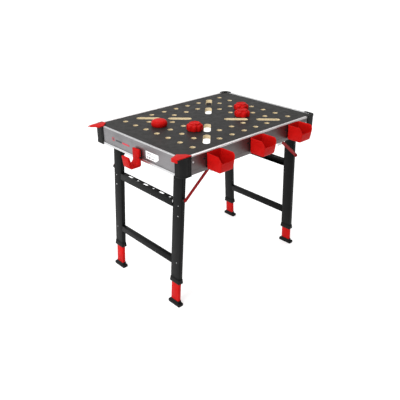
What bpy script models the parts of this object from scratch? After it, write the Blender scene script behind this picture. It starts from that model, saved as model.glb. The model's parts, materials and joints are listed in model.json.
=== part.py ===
"""Folding, height-adjustable workbench with a perforated top.

Black laminated top with a grid of dog holes and eight diagonal slots, framed by four
aluminium extrusions and plastic corner brackets.  Two H-shaped leg frames swing up inside
the rails, one above the other.  Each leg has a telescoping foot, each frame two braces.
Four bench dogs, three bins, a strap hook and two swivel corner stops lift off or turn.

Metres, +Z up, floor at Z = 0.  X runs along the bench and Y across it.
The model's origin is on the floor at the middle of the bounding box.
"""

import math

import bmesh
import bpy
from mathutils import Matrix, Vector

# --- driving dimensions -------------------------------------------------------------

TOP_HEIGHT = 0.867            # worktop surface above the floor, legs extended
HALF_X = 0.500                # outer face of the end rails
HALF_Y = 0.353                # outer face of the long rails
HOLE_PITCH = 0.090            # grid of the dog holes
HOLE_RADIUS = 0.0135
SLOT_WIDTH = 0.036
SLOT_LENGTH = 0.130
SLOT_OFFSETS = (1.22, 2.60)   # slot centres along the diagonals, in grid pitches
PANEL_THICKNESS = 0.020
PANEL_INSET = 0.004           # panel edge behind the rails' outer faces
GAP = 0.0003                  # play between pieces that touch

RAIL_DEPTH = 0.095
RAIL_WALL = 0.0025
RIM_WIDTH = 0.014
RIM_HEIGHT = 0.0018           # rim above the worktop
RAIL_CUT = 0.030              # rails end this far before the corner
FOOT_BEAD = 0.002             # bead along the foot of each end rail

BRACKET_RADIUS = 0.030
BRACKET_PROUD = 0.004         # bracket wall outside the rails
BRACKET_DEPTH = 0.098
BRACKET_REACHES = {           # along the end rail, along the long rail
    ("front", "left"): (0.048, 0.056),
    ("rear", "left"): (0.076, 0.048),
    ("front", "right"): (0.066, 0.066),
    ("rear", "right"): (0.048, 0.048),
}
LID_HEIGHT = 0.0035           # right brackets' lid above the rims

SPLAY = math.radians(3.55)    # leg lean away from the vertical
FOOT_X = 0.473                # leg axis at the floor
LEG_Y = 0.252
LEG_TUBE = (0.025, 0.066)     # along X, along Y
INNER_TUBE = (0.019, 0.057)
TUBE_WALL = 0.0015
FRAME_DROP = 0.031            # the right frame hangs lower and folds under the left one
LEFT_PIVOT = TOP_HEIGHT - 0.042
RIGHT_PIVOT = LEFT_PIVOT - FRAME_DROP
LEG_CROWN = 0.011             # tube above the pivot
PIVOT_BOLT_RADIUS = 0.0048
PIVOT_HOLE_RADIUS = 0.0053
OUTER_TUBE_END = 0.145        # heights above the floor, legs extended, left frame
COLLAR_TOP = 0.163
COLLAR_BOTTOM = 0.137
INNER_TUBE_TOP = 0.255
FOOT_SIZE = (0.033, 0.089, 0.018)
UPPER_BAR_TOP = 0.602
UPPER_BAR_SIZE = (0.030, 0.036)   # along X, along the leg
UPPER_BAR_SHEET = 0.002
LOWER_BAR_TOP = 0.278
LOWER_BAR_SIZE = (0.025, 0.036)
BAR_HOLE_PITCH = 0.066
BAR_HOLE_SHIFT = 0.013        # middle hole from the bar's middle
BAR_HOLE_RADIUS = 0.006
BAR_SLOT = (0.036, 0.014)
BUTTON_HEIGHT = 0.190
BUTTON_RADIUS = 0.005
BUTTON_PROUD = 0.003

BRACE_PIVOT = 0.621           # brace's lower pivot above the floor
BRACE_RISE = math.radians(39.5)
BRACE_Y = 0.2980              # inner face of the brace bar
BRACE_THICKNESS = 0.003
BRACE_WIDTH = 0.018
BRACE_TOPS = {"left": TOP_HEIGHT - 0.045, "right": TOP_HEIGHT - 0.078}
TRACK_Y = 0.306
TRACK_THICKNESS = 0.003
TRACK_REACH = 0.248

BIN_SIZE = (0.100, 0.096, 0.081)
BIN_GAP = 0.001               # bin's back to the rail's face
BIN_TOP = 0.006               # below the worktop
BIN_STATIONS = (-0.302, 0.000, 0.302)
BIN_WALL = 0.0025
BIN_SHOULDER = 0.014          # front corners drop this far into the low front
BIN_SCOOP = 0.033             # low front below the sides

HOOK_WIDTH = 0.052
HOOK_Y = -0.027
HOOK_REACH = 0.582            # tip of the hook from the bench centre
HOOK_BACK = 0.013             # thickness against the rail
HOOK_GAP = 0.046              # between the hook's two arms
HOOK_ARM = 0.012              # thickness of the outer arm
HOOK_DROP = 0.124             # underside below the worktop
HOOK_TIP = 0.059

DOG_RADIUS = 0.043
SHANK_RADIUS = 0.012
SHANK_DEPTH = 0.019
LOBE_DEPTH = 0.006

EAR_PLATE = 0.004
EAR_LIFT = 0.0003

BRACKET_HALF_X = HALF_X + BRACKET_PROUD
BRACKET_HALF_Y = HALF_Y + BRACKET_PROUD
EAR_HALF_Y = 0.3565           # outer edge of the corner stops
BIN_FRONT = HALF_Y + BIN_GAP + BIN_SIZE[1]
SHIFT_X = (HOOK_REACH - BRACKET_HALF_X) / 2
SHIFT_Y = (BIN_FRONT - BRACKET_HALF_Y) / 2

ENDS = {"left": -1, "right": 1}
SIDES = {"front": -1, "rear": 1}
PIVOTS = {"left": LEFT_PIVOT, "right": RIGHT_PIVOT}

MATERIALS = {
    "top_laminate": ((0.060, 0.062, 0.062), 0.45, 0.0),
    "aluminium": ((0.62, 0.62, 0.63), 0.35, 1.0),
    "black_steel": ((0.030, 0.030, 0.032), 0.45, 0.3),
    "black_plastic": ((0.025, 0.025, 0.027), 0.55, 0.0),
    "red_steel": ((0.55, 0.010, 0.012), 0.40, 0.2),
    "red_plastic": ((0.62, 0.012, 0.010), 0.35, 0.0),
    "zinc_steel": ((0.55, 0.55, 0.56), 0.35, 1.0),
}


# --- scene and object helpers ---------------------------------------------------------

def new_collection(name):
    collection = bpy.data.collections.new(name)
    bpy.context.scene.collection.children.link(collection)
    return collection


def clear_scene():
    for obj in list(bpy.data.objects):
        bpy.data.objects.remove(obj, do_unlink=True)


def make_materials():
    made = {}
    for name, (colour, roughness, metallic) in MATERIALS.items():
        material = bpy.data.materials.new(name)
        material.use_nodes = True
        shader = material.node_tree.nodes["Principled BSDF"]
        shader.inputs["Base Color"].default_value = (*colour, 1.0)
        shader.inputs["Roughness"].default_value = roughness
        shader.inputs["Metallic"].default_value = metallic
        made[name] = material
    return made


clear_scene()
BENCH = new_collection("folding_workbench")
CUTTERS = new_collection("cutters")
PAINT = make_materials()


def empty(name, location, parent=None, tilt=0.0):
    """An empty that carries a body; tilt leans it about Y."""
    obj = bpy.data.objects.new(name, None)
    obj.empty_display_size = 0.05
    obj.location = location
    obj.rotation_euler = (0.0, tilt, 0.0)
    obj.parent = parent
    BENCH.objects.link(obj)
    return obj


def finish_mesh(mesh, smooth_angle=30):
    mesh.shade_smooth()
    mesh.set_sharp_from_angle(angle=math.radians(smooth_angle))
    return mesh


def part(name, mesh, material, parent, location=(0, 0, 0)):
    """A named sub-part in the bench's collection."""
    mesh.name = name
    mesh.materials.clear()
    mesh.materials.append(PAINT[material])
    obj = bpy.data.objects.new(name, mesh)
    obj.location = location
    obj.parent = parent
    BENCH.objects.link(obj)
    return obj


def helper(mesh, parent, location=(0, 0, 0)):
    """A cutter or a shape to be joined on; it isn't part of the model."""
    obj = bpy.data.objects.new(mesh.name, mesh)
    obj.location = location
    obj.parent = parent
    obj.hide_render = True
    obj.display_type = "WIRE"
    CUTTERS.objects.link(obj)
    return obj


def combine(obj, mesh, operation, location=None):
    """Cut a mesh out of a part (DIFFERENCE) or join it on (UNION)."""
    other = helper(mesh, obj.parent, obj.location if location is None else location)
    modifier = obj.modifiers.new(operation.lower(), "BOOLEAN")
    modifier.operation = operation
    modifier.solver = "EXACT"
    modifier.object = other
    return other


def bevel(obj, width, segments=2):
    modifier = obj.modifiers.new("bevel", "BEVEL")
    modifier.width = width
    modifier.segments = segments
    modifier.limit_method = "ANGLE"
    modifier.harden_normals = True


# --- mesh helpers: local coordinates, already at full size ----------------------------

def box_mesh(name, size, centre=(0, 0, 0)):
    mesh = bpy.data.meshes.new(name)
    bm = bmesh.new()
    placed = Matrix.Translation(centre) @ Matrix.Diagonal((*size, 1.0))
    bmesh.ops.create_cube(bm, size=1.0, matrix=placed)
    bm.to_mesh(mesh)
    bm.free()
    return mesh


def cylinder_mesh(name, radius, length, centre=(0, 0, 0), axis="Z", segments=20, tip=None):
    """A cylinder, or a cone whose far end has the radius tip."""
    turn = {
        "Z": Matrix.Identity(4),
        "Y": Matrix.Rotation(math.radians(-90), 4, "X"),
        "X": Matrix.Rotation(math.radians(90), 4, "Y"),
    }[axis]
    mesh = bpy.data.meshes.new(name)
    bm = bmesh.new()
    bmesh.ops.create_cone(
        bm,
        cap_ends=True,
        segments=segments,
        radius1=radius,
        radius2=radius if tip is None else tip,
        depth=length,
        matrix=Matrix.Translation(centre) @ turn,
    )
    bm.to_mesh(mesh)
    bm.free()
    return finish_mesh(mesh)


def join_meshes(name, meshes):
    """Several separate closed shapes in one mesh, for a single cut."""
    bm = bmesh.new()
    for mesh in meshes:
        bm.from_mesh(mesh)
        bpy.data.meshes.remove(mesh)
    joined = bpy.data.meshes.new(name)
    bm.to_mesh(joined)
    bm.free()
    return joined


def outline_mesh(name, loops, thickness, placed):
    """A flat outline with holes, thickened evenly, then moved by the matrix placed."""
    curve = bpy.data.curves.new(name, "CURVE")
    curve.dimensions = "2D"
    curve.fill_mode = "BOTH"
    curve.extrude = thickness / 2
    for loop in loops:
        spline = curve.splines.new("POLY")
        spline.points.add(len(loop) - 1)
        for point, (x, y) in zip(spline.points, loop):
            point.co = (x, y, 0.0, 1.0)
        spline.use_cyclic_u = True
    guide = bpy.data.objects.new(name, curve)
    CUTTERS.objects.link(guide)
    graph = bpy.context.evaluated_depsgraph_get()
    mesh = bpy.data.meshes.new_from_object(guide.evaluated_get(graph))
    bpy.data.objects.remove(guide)
    bm = bmesh.new()
    bm.from_mesh(mesh)
    bmesh.ops.remove_doubles(bm, verts=bm.verts, dist=0.00001)
    bmesh.ops.transform(bm, matrix=placed, verts=bm.verts)
    bmesh.ops.recalc_face_normals(bm, faces=bm.faces)
    bm.to_mesh(mesh)
    bm.free()
    return finish_mesh(mesh)


def lift(low, high):
    """Place an outline of thickness high - low flat, between two heights."""
    return Matrix.Translation((0, 0, (low + high) / 2))


def upright(right, up, centre=(0, 0, 0)):
    """Place an outline with its X along the vector right and its Y along up."""
    right = Vector(right)
    up = Vector(up)
    along = right.cross(up)
    turn = Matrix((right, up, along)).transposed().to_4x4()
    return Matrix.Translation(centre) @ turn


# --- outlines ---------------------------------------------------------------------------

def arc(centre, radius, start, end, steps):
    """Points along an arc, angles in degrees, both ends included."""
    points = []
    for step in range(steps + 1):
        angle = math.radians(start + (end - start) * step / steps)
        points.append((centre[0] + radius * math.cos(angle), centre[1] + radius * math.sin(angle)))
    return points


def circle(centre, radius, steps=16):
    return arc(centre, radius, 0, 360 - 360 / steps, steps - 1)


def rounded_box(half_x, half_y, radius, steps=3):
    points = []
    for sign_x, sign_y, start in ((1, 1, 0), (-1, 1, 90), (-1, -1, 180), (1, -1, 270)):
        centre = (sign_x * (half_x - radius), sign_y * (half_y - radius))
        points += arc(centre, radius, start, start + 90, steps)
    return points


def slot_outline(centre, length, width, heading):
    """A slot with round ends; heading in degrees."""
    reach = (length - width) / 2
    direction = (math.cos(math.radians(heading)), math.sin(math.radians(heading)))
    far = (centre[0] + reach * direction[0], centre[1] + reach * direction[1])
    near = (centre[0] - reach * direction[0], centre[1] - reach * direction[1])
    return (
        arc(far, width / 2, heading - 90, heading + 90, 7)
        + arc(near, width / 2, heading + 90, heading + 270, 7)
    )


# --- worktop ----------------------------------------------------------------------------

def dog_hole_cells():
    """Column and row of each dog hole, counted from the middle of the top."""
    rows_by_column = {
        4: range(-3, 4),
        3: range(-2, 3),
        2: (-3, -1, 0, 1, 3),
        1: (-3, -2, 2, 3),
        0: (-3, -2, 2, 3),
    }
    cells = []
    for column in range(-4, 5):
        cells += [(column, row) for row in rows_by_column[abs(column)]]
    return cells


def worktop(bench):
    half_x = HALF_X - PANEL_INSET
    half_y = HALF_Y - PANEL_INSET
    loops = [rounded_box(half_x, half_y, 0.012)]
    for column, row in dog_hole_cells():
        loops.append(circle((column * HOLE_PITCH, row * HOLE_PITCH), HOLE_RADIUS))
    for offset in SLOT_OFFSETS:
        reach = offset * HOLE_PITCH
        for sign_x in (-1, 1):
            for sign_y in (-1, 1):
                centre = (sign_x * reach, sign_y * reach)
                heading = 45 * sign_x * sign_y
                loops.append(slot_outline(centre, SLOT_LENGTH, SLOT_WIDTH, heading))
    for side in SIDES.values():
        loops.append(circle(ear_pin(side), 0.005))
    placed = lift(TOP_HEIGHT - PANEL_THICKNESS, TOP_HEIGHT)
    mesh = outline_mesh("top_panel", loops, PANEL_THICKNESS, placed)
    part("top_panel", mesh, "top_laminate", bench)


# --- rails and corner brackets ------------------------------------------------------------

def rail_profile(bead):
    """Section of a side extrusion: X outwards from the rail's face, Y up from the worktop."""
    wall = -RAIL_WALL
    shelf = -PANEL_THICKNESS - GAP
    lip = -0.014
    bottom = -RAIL_DEPTH
    foot = [(0.0, bottom)]
    if bead > 0.0:
        foot = [(0.0005, bottom), (bead, bottom + 0.003), (bead, bottom + 0.009), (0.0, bottom + 0.015)]
    return foot + [
        (0.0, RIM_HEIGHT),
        (-RIM_WIDTH, RIM_HEIGHT),
        (-RIM_WIDTH, GAP),
        (wall, GAP),
        (wall, shelf),
        (lip, shelf),
        (lip, shelf - 0.0025),
        (wall, shelf - 0.0025),
        (wall, bottom + 0.0025),
        (lip, bottom + 0.0025),
        (lip, bottom),
    ]


def rail(name, bench, outward, length, face, bead=0.0):
    """One extrusion; face is how far its outer face is from the bench's centre."""
    centre = Vector(outward) * face + Vector((0, 0, TOP_HEIGHT))
    placed = upright(outward, (0, 0, 1), centre)
    part(name, outline_mesh(name, [rail_profile(bead)], length, placed), "aluminium", bench)


def rails(bench):
    long_length = 2 * (HALF_X - RAIL_CUT)
    end_length = 2 * (HALF_Y - RAIL_CUT)
    for side, sign in SIDES.items():
        rail(f"{side}_rail", bench, (0, sign, 0), long_length, HALF_Y)
    for end, sign in ENDS.items():
        rail(f"{end}_end_rail", bench, (sign, 0, 0), end_length, HALF_X, FOOT_BEAD)


def corner_strip(outer, inner, end_reach, side_reach, sign_x, sign_y):
    """Plan of a strip round a corner, between two distances outside the rails' faces."""
    arc_x = HALF_X + BRACKET_PROUD - BRACKET_RADIUS
    arc_y = HALF_Y + BRACKET_PROUD - BRACKET_RADIUS
    outer_radius = BRACKET_RADIUS - BRACKET_PROUD + outer
    inner_radius = BRACKET_RADIUS - BRACKET_PROUD + inner
    points = [(HALF_X - side_reach, HALF_Y + outer)]
    points += arc((arc_x, arc_y), outer_radius, 90, 0, 6)
    points += [(HALF_X + outer, HALF_Y - end_reach), (HALF_X + inner, HALF_Y - end_reach)]
    points += arc((arc_x, arc_y), inner_radius, 0, 90, 6)
    points += [(HALF_X - side_reach, HALF_Y + inner)]
    return [(x * sign_x, y * sign_y) for x, y in points]


def corner_block(sign_x, sign_y):
    """Plan of the solid corner that joins the two rails."""
    arc_x = HALF_X + BRACKET_PROUD - BRACKET_RADIUS
    arc_y = HALF_Y + BRACKET_PROUD - BRACKET_RADIUS
    rail_x = HALF_X - RAIL_CUT + GAP
    rail_y = HALF_Y - RAIL_CUT + GAP
    points = [(rail_x, rail_y), (rail_x, HALF_Y + 0.001)]
    points += arc((arc_x, arc_y), BRACKET_RADIUS - 0.001, 84, 6, 5)
    points += [(HALF_X + 0.001, rail_y)]
    return [(x * sign_x, y * sign_y) for x, y in points]


def corner_bracket(side, end, bench):
    """Wall round the corner, a block between the rails, a cap and on the right a lid."""
    name = f"corner_bracket_{side}_{end}"
    sign_x = ENDS[end]
    sign_y = SIDES[side]
    reaches = BRACKET_REACHES[side, end]
    wall = corner_strip(BRACKET_PROUD, GAP, *reaches, sign_x, sign_y)
    low = TOP_HEIGHT - BRACKET_DEPTH
    high = TOP_HEIGHT + RIM_HEIGHT + (LID_HEIGHT if end == "right" else 0.0)
    mesh = outline_mesh(name, [wall], high - low, lift(low, high))
    bracket = part(name, mesh, "black_plastic", bench)
    relief = corner_strip(FOOT_BEAD + GAP, -0.001, *reaches, sign_x, sign_y)
    relief_low = low - 0.01
    relief_high = TOP_HEIGHT - RAIL_DEPTH + 0.0155
    placed = lift(relief_low, relief_high)
    combine(bracket, outline_mesh("relief", [relief], relief_high - relief_low, placed), "DIFFERENCE")
    cap = corner_strip(0.001, -RIM_WIDTH, RAIL_CUT - GAP, RAIL_CUT - GAP, sign_x, sign_y)
    cap_low = TOP_HEIGHT + GAP
    combine(bracket, outline_mesh("cap", [cap], high - cap_low, lift(cap_low, high)), "UNION")
    block_high = TOP_HEIGHT - PANEL_THICKNESS - GAP
    block_low = TOP_HEIGHT - RAIL_DEPTH
    block = [corner_block(sign_x, sign_y)]
    placed = lift(block_low, block_high)
    combine(bracket, outline_mesh("block", block, block_high - block_low, placed), "UNION")
    if end == "right":
        lid = [corner_strip(0.001, -RIM_WIDTH, *reaches, sign_x, sign_y)]
        lid_low = TOP_HEIGHT + RIM_HEIGHT + GAP
        combine(bracket, outline_mesh("lid", lid, high - lid_low, lift(lid_low, high)), "UNION")


def corner_brackets(bench):
    for side, end in BRACKET_REACHES:
        corner_bracket(side, end, bench)


# --- leg frames ---------------------------------------------------------------------------

def leg_x(end, height):
    """X of a leg's axis at a height above the floor."""
    return ENDS[end] * (FOOT_X - math.tan(SPLAY) * height)


def down_leg(end, height):
    """Distance along the leg from the frame's pivot; negative below it."""
    return (height - PIVOTS[end]) / math.cos(SPLAY)


def down_frame(end, height):
    """The same for a height given for the left frame; the right one hangs lower."""
    return down_leg(end, height - (FRAME_DROP if end == "right" else 0.0))


def tube_mesh(name, size, low, high, wall=TUBE_WALL):
    """An open rectangular tube standing along Z."""
    half_x = size[0] / 2
    half_y = size[1] / 2
    outside = rounded_box(half_x, half_y, 0.003, 2)
    inside = rounded_box(half_x - wall, half_y - wall, 0.0015, 2)
    loops = [outside, inside]
    return outline_mesh(name, loops, high - low, lift(low, high))


def pivot_bracket(end, side, bench):
    """Inverted U under the panel that the leg's top turns in, and its bolt."""
    name = f"pivot_bracket_{side}_{end}"
    centre_x = leg_x(end, PIVOTS[end])
    centre_y = SIDES[side] * LEG_Y
    top = TOP_HEIGHT - PANEL_THICKNESS - GAP
    sheet = 0.003
    outer = LEG_TUBE[1] / 2 + 0.001 + sheet
    size = (0.030, 2 * outer, top - PIVOTS[end] + 0.014)
    middle = (top + PIVOTS[end] - 0.014) / 2
    bracket = part(name, box_mesh(name, size, (centre_x, centre_y, middle)), "black_steel", bench)
    hollow = (0.040, size[1] - 2 * sheet, size[2])
    hollow_centre = (centre_x, centre_y, middle - sheet)
    combine(bracket, box_mesh("hollow", hollow, hollow_centre), "DIFFERENCE")
    eye = cylinder_mesh("eye", PIVOT_HOLE_RADIUS, 0.1, (centre_x, centre_y, PIVOTS[end]), "Y", 16)
    combine(bracket, eye, "DIFFERENCE")
    pivot_bolt(end, side, bench, outer)


def pivot_bolt(end, side, bench, half_length):
    name = f"pivot_bolt_{side}_{end}"
    centre = (leg_x(end, PIVOTS[end]), SIDES[side] * LEG_Y, PIVOTS[end])
    shank = cylinder_mesh(name, PIVOT_BOLT_RADIUS, 2 * half_length + 0.004, centre, "Y", 16)
    bolt = part(name, shank, "zinc_steel", bench)
    for end_sign in (-1, 1):
        head_y = centre[1] + end_sign * (half_length + GAP + 0.002)
        head = cylinder_mesh("head", 0.0085, 0.004, (centre[0], head_y, centre[2]), "Y", 6)
        combine(bolt, head, "UNION")


def outer_leg(end, side, frame):
    name = f"outer_leg_{side}_{end}"
    low = down_frame(end, OUTER_TUBE_END)
    leg = part(name, tube_mesh(name, LEG_TUBE, low, LEG_CROWN), "black_steel", frame)
    leg.location = (0, SIDES[side] * LEG_Y, 0)
    eye = cylinder_mesh("eye", PIVOT_HOLE_RADIUS, 0.1, axis="Y", segments=16)
    combine(leg, eye, "DIFFERENCE")
    button_z = down_frame(end, BUTTON_HEIGHT)
    hole_centre = (LEG_TUBE[0] / 2, 0, button_z)
    hole = cylinder_mesh("button_hole", BUTTON_RADIUS + 0.0004, 0.01, hole_centre, "X", 16)
    combine(leg, hole, "DIFFERENCE")
    collar(end, side, frame)


def collar(end, side, frame):
    """Plastic end cap on the outer tube that guides the inner one."""
    name = f"leg_collar_{side}_{end}"
    low = down_frame(end, COLLAR_BOTTOM)
    high = down_frame(end, COLLAR_TOP)
    seat = down_frame(end, OUTER_TUBE_END) - GAP
    outside = rounded_box(LEG_TUBE[0] / 2 + 0.004, LEG_TUBE[1] / 2 + 0.004, 0.004, 2)
    body = outline_mesh(name, [outside], high - low, lift(low, high))
    cap = part(name, body, "black_plastic", frame, (0, SIDES[side] * LEG_Y, 0))
    socket = [rounded_box(LEG_TUBE[0] / 2 + GAP, LEG_TUBE[1] / 2 + GAP, 0.003, 2)]
    placed = lift(seat, high + 0.01)
    combine(cap, outline_mesh("socket", socket, high + 0.01 - seat, placed), "DIFFERENCE")
    bore = [rounded_box(INNER_TUBE[0] / 2 + 0.0005, INNER_TUBE[1] / 2 + 0.0005, 0.003, 2)]
    placed = lift(low - 0.01, high + 0.01)
    combine(cap, outline_mesh("bore", bore, high - low + 0.02, placed), "DIFFERENCE")


def crossbar_length():
    return 2 * (LEG_Y - LEG_TUBE[1] / 2 - GAP)


def upper_crossbar(end, frame):
    """Channel, open towards the bench's middle, with round and long holes in its top."""
    name = f"upper_crossbar_{end}"
    width, height = UPPER_BAR_SIZE
    high = down_frame(end, UPPER_BAR_TOP)
    middle = high - height / 2
    length = crossbar_length()
    bar = part(name, box_mesh(name, (width, length, height), (0, 0, middle)), "black_steel", frame)
    hollow_size = (width, length + 0.02, height - 2 * UPPER_BAR_SHEET)
    hollow_x = -ENDS[end] * UPPER_BAR_SHEET
    combine(bar, box_mesh("hollow", hollow_size, (hollow_x, 0, middle)), "DIFFERENCE")
    holes = []
    for step in range(-3, 4):
        centre = (0.0, BAR_HOLE_SHIFT + step * BAR_HOLE_PITCH)
        loop = circle(centre, BAR_HOLE_RADIUS, 12) if step % 2 else slot_outline(centre, *BAR_SLOT, 90)
        holes.append(outline_mesh("hole", [loop], 0.02, lift(high - 0.01, high + 0.01)))
    combine(bar, join_meshes("holes", holes), "DIFFERENCE")


def lower_crossbar(end, frame):
    name = f"lower_crossbar_{end}"
    half_x = LOWER_BAR_SIZE[0] / 2
    half_z = LOWER_BAR_SIZE[1] / 2
    outside = rounded_box(half_x, half_z, 0.003, 2)
    inside = rounded_box(half_x - TUBE_WALL, half_z - TUBE_WALL, 0.0015, 2)
    centre = (0, 0, down_frame(end, LOWER_BAR_TOP) - half_z)
    placed = upright((1, 0, 0), (0, 0, 1), centre)
    mesh = outline_mesh(name, [outside, inside], crossbar_length(), placed)
    part(name, mesh, "black_steel", frame)


def inner_leg(end, side, frame):
    """Telescoping tube and its foot, on an empty of their own."""
    slide = empty(f"inner_leg_axis_{side}_{end}", (0, SIDES[side] * LEG_Y, 0), frame)
    name = f"inner_leg_{side}_{end}"
    foot_low = down_leg(end, 0.0)
    tube = part(
        name,
        tube_mesh(name, INNER_TUBE, foot_low + 0.010, down_leg(end, INNER_TUBE_TOP)),
        "red_steel",
        slide,
    )
    button_z = down_frame(end, BUTTON_HEIGHT)
    detent_centre = (INNER_TUBE[0] / 2, 0, button_z)
    detent = cylinder_mesh("detent", BUTTON_RADIUS + 0.001, 0.01, detent_centre, "X", 16)
    combine(tube, detent, "DIFFERENCE")
    foot_name = f"foot_{side}_{end}"
    pad = box_mesh(foot_name, FOOT_SIZE, (0, 0, FOOT_SIZE[2] / 2))
    foot = part(foot_name, pad, "black_plastic", slide, (0, 0, foot_low))
    foot.rotation_euler = (0, ENDS[end] * SPLAY, 0)
    bevel(foot, 0.003)
    half_x = INNER_TUBE[0] / 2 + GAP
    half_y = INNER_TUBE[1] / 2 + GAP
    pocket = [rounded_box(half_x, half_y, 0.003, 2)]
    pocket_mesh = outline_mesh("pocket", pocket, 0.03, lift(0.0095, 0.0395))
    combine(foot, pocket_mesh, "DIFFERENCE", (0, 0, foot_low))


def lock_button(end, side, frame):
    """Spring button that holds the telescoping leg at its height."""
    name = f"lock_button_{side}_{end}"
    face = LEG_TUBE[0] / 2
    inner = face - TUBE_WALL
    length = face + BUTTON_PROUD - inner
    centre = ((face + BUTTON_PROUD + inner) / 2, 0, 0)
    mesh = cylinder_mesh(name, BUTTON_RADIUS, length, centre, "X", 16, tip=BUTTON_RADIUS * 0.75)
    location = (0, SIDES[side] * LEG_Y, down_frame(end, BUTTON_HEIGHT))
    part(name, mesh, "zinc_steel", frame, location)


def brace_top_x(end):
    """X of the brace's upper pin with the legs open."""
    run = (BRACE_TOPS[end] - BRACE_PIVOT) / math.tan(BRACE_RISE)
    return leg_x(end, BRACE_PIVOT) - ENDS[end] * run


def brace(end, side, bench):
    """Flat bar from the leg to the track, with a boss at the leg and a pin at the track."""
    name = f"brace_{side}_{end}"
    sign = SIDES[side]
    hinge = empty(f"brace_axis_{side}_{end}", (leg_x(end, BRACE_PIVOT), 0, BRACE_PIVOT), bench)
    run = brace_top_x(end) - leg_x(end, BRACE_PIVOT)
    rise = BRACE_TOPS[end] - BRACE_PIVOT
    length = math.hypot(run, rise)
    across = sign * (BRACE_Y + BRACE_THICKNESS / 2)
    right = (run / length, 0, rise / length)
    up = (-rise / length, 0, run / length)
    bar_loop = slot_outline((length / 2, 0), length + BRACE_WIDTH, BRACE_WIDTH, 0)
    placed = upright(right, up, (0, across, 0))
    bar = part(name, outline_mesh(name, [bar_loop], BRACE_THICKNESS, placed), "red_steel", hinge)
    boss_low = LEG_Y + LEG_TUBE[1] / 2 + GAP
    boss_high = BRACE_Y + BRACE_THICKNESS / 2
    boss_y = sign * (boss_low + boss_high) / 2
    combine(bar, cylinder_mesh("boss", 0.008, boss_high - boss_low, (0, boss_y, 0), "Y", 16), "UNION")
    pin_low = BRACE_Y + BRACE_THICKNESS / 2
    pin_high = TRACK_Y - 0.001
    pin_y = sign * (pin_low + pin_high) / 2
    combine(bar, cylinder_mesh("pin", 0.0042, pin_high - pin_low, (run, pin_y, rise), "Y", 12), "UNION")


def brace_track(side, bench):
    """Hanging plate with one level slot for each frame's brace pins."""
    name = f"brace_track_{side}"
    sign = SIDES[side]
    sheet = TRACK_THICKNESS
    top = TOP_HEIGHT - PANEL_THICKNESS - GAP
    low = min(BRACE_TOPS.values()) - 0.012
    inner = TRACK_Y
    profile = [
        (inner, low),
        (inner + sheet, low),
        (inner + sheet, top - sheet),
        (inner + 0.025, top - sheet),
        (inner + 0.025, top),
        (inner, top),
    ]
    placed = upright((0, sign, 0), (0, 0, 1))
    mesh = outline_mesh(name, [profile], 2 * TRACK_REACH, placed)
    track = part(name, mesh, "zinc_steel", bench)
    slots = []
    for end in ENDS:
        start = brace_top_x(end)
        folded = folded_brace_top_x(end)
        middle = (start + folded) / 2
        loop = slot_outline((middle, BRACE_TOPS[end]), abs(start - folded) + 0.012, 0.010, 0)
        placed = upright((1, 0, 0), (0, 0, 1), (0, sign * inner, 0))
        slots.append(outline_mesh("slot", [loop], 0.02, placed))
    combine(track, join_meshes("slots", slots), "DIFFERENCE")


def folded_brace_top_x(end):
    """X of the brace's upper pin with the frame folded flat."""
    arm = (PIVOTS[end] - BRACE_PIVOT) / math.cos(SPLAY)
    length = (BRACE_TOPS[end] - BRACE_PIVOT) / math.sin(BRACE_RISE)
    drop = PIVOTS[end] - BRACE_TOPS[end]
    lower_x = leg_x(end, PIVOTS[end]) - ENDS[end] * arm
    return lower_x - ENDS[end] * math.sqrt(length * length - drop * drop)


def leg_frame(end, bench):
    pivot = (leg_x(end, PIVOTS[end]), 0, PIVOTS[end])
    frame = empty(f"{end}_legs_axis", pivot, bench, tilt=-ENDS[end] * SPLAY)
    for side in SIDES:
        outer_leg(end, side, frame)
        inner_leg(end, side, frame)
        lock_button(end, side, frame)
        pivot_bracket(end, side, bench)
        brace(end, side, bench)
    upper_crossbar(end, frame)
    lower_crossbar(end, frame)


# --- pieces that lift off or turn -----------------------------------------------------------

def lobed_outline(radius, lobes, depth, steps=72):
    """A round outline with shallow finger scallops."""
    points = []
    for step in range(steps):
        angle = 2 * math.pi * step / steps
        reach = radius - depth * (0.5 - 0.5 * math.cos(lobes * angle)) ** 2
        points.append((reach * math.cos(angle), reach * math.sin(angle)))
    return points


def turned_mesh(name, profile, steps=28):
    """A solid turned about Z from (radius, height) points, top to bottom on its outer side."""
    mesh = bpy.data.meshes.new(name)
    edges = [(i, i + 1) for i in range(len(profile) - 1)]
    mesh.from_pydata([(radius, 0, height) for radius, height in profile], edges, [])
    guide = bpy.data.objects.new(name, mesh)
    CUTTERS.objects.link(guide)
    screw = guide.modifiers.new("turn", "SCREW")
    screw.steps = steps
    screw.render_steps = steps
    screw.use_merge_vertices = True
    screw.merge_threshold = 0.00001
    graph = bpy.context.evaluated_depsgraph_get()
    turned = bpy.data.meshes.new_from_object(guide.evaluated_get(graph))
    bpy.data.objects.remove(guide)
    bpy.data.meshes.remove(mesh)
    bm = bmesh.new()
    bm.from_mesh(turned)
    bmesh.ops.recalc_face_normals(bm, faces=bm.faces)
    bm.to_mesh(turned)
    bm.free()
    return finish_mesh(turned)


def dog_place(column, row):
    return (column * HOLE_PITCH, row * HOLE_PITCH, TOP_HEIGHT)


def smooth_dog(name, column, row, height, bench):
    """Round dog with a domed edge."""
    base = GAP
    profile = [
        (0.0, height),
        (DOG_RADIUS - 0.020, height - 0.001),
        (DOG_RADIUS - 0.009, height - 0.005),
        (DOG_RADIUS - 0.003, height - 0.012),
        (DOG_RADIUS, height - 0.020),
        (DOG_RADIUS - 0.002, base + 0.002),
        (DOG_RADIUS - 0.005, base),
        (SHANK_RADIUS, base),
        (SHANK_RADIUS, -SHANK_DEPTH + 0.0015),
        (SHANK_RADIUS - 0.0015, -SHANK_DEPTH),
        (0.0, -SHANK_DEPTH),
    ]
    part(name, turned_mesh(name, profile), "red_plastic", bench, dog_place(column, row))


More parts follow.
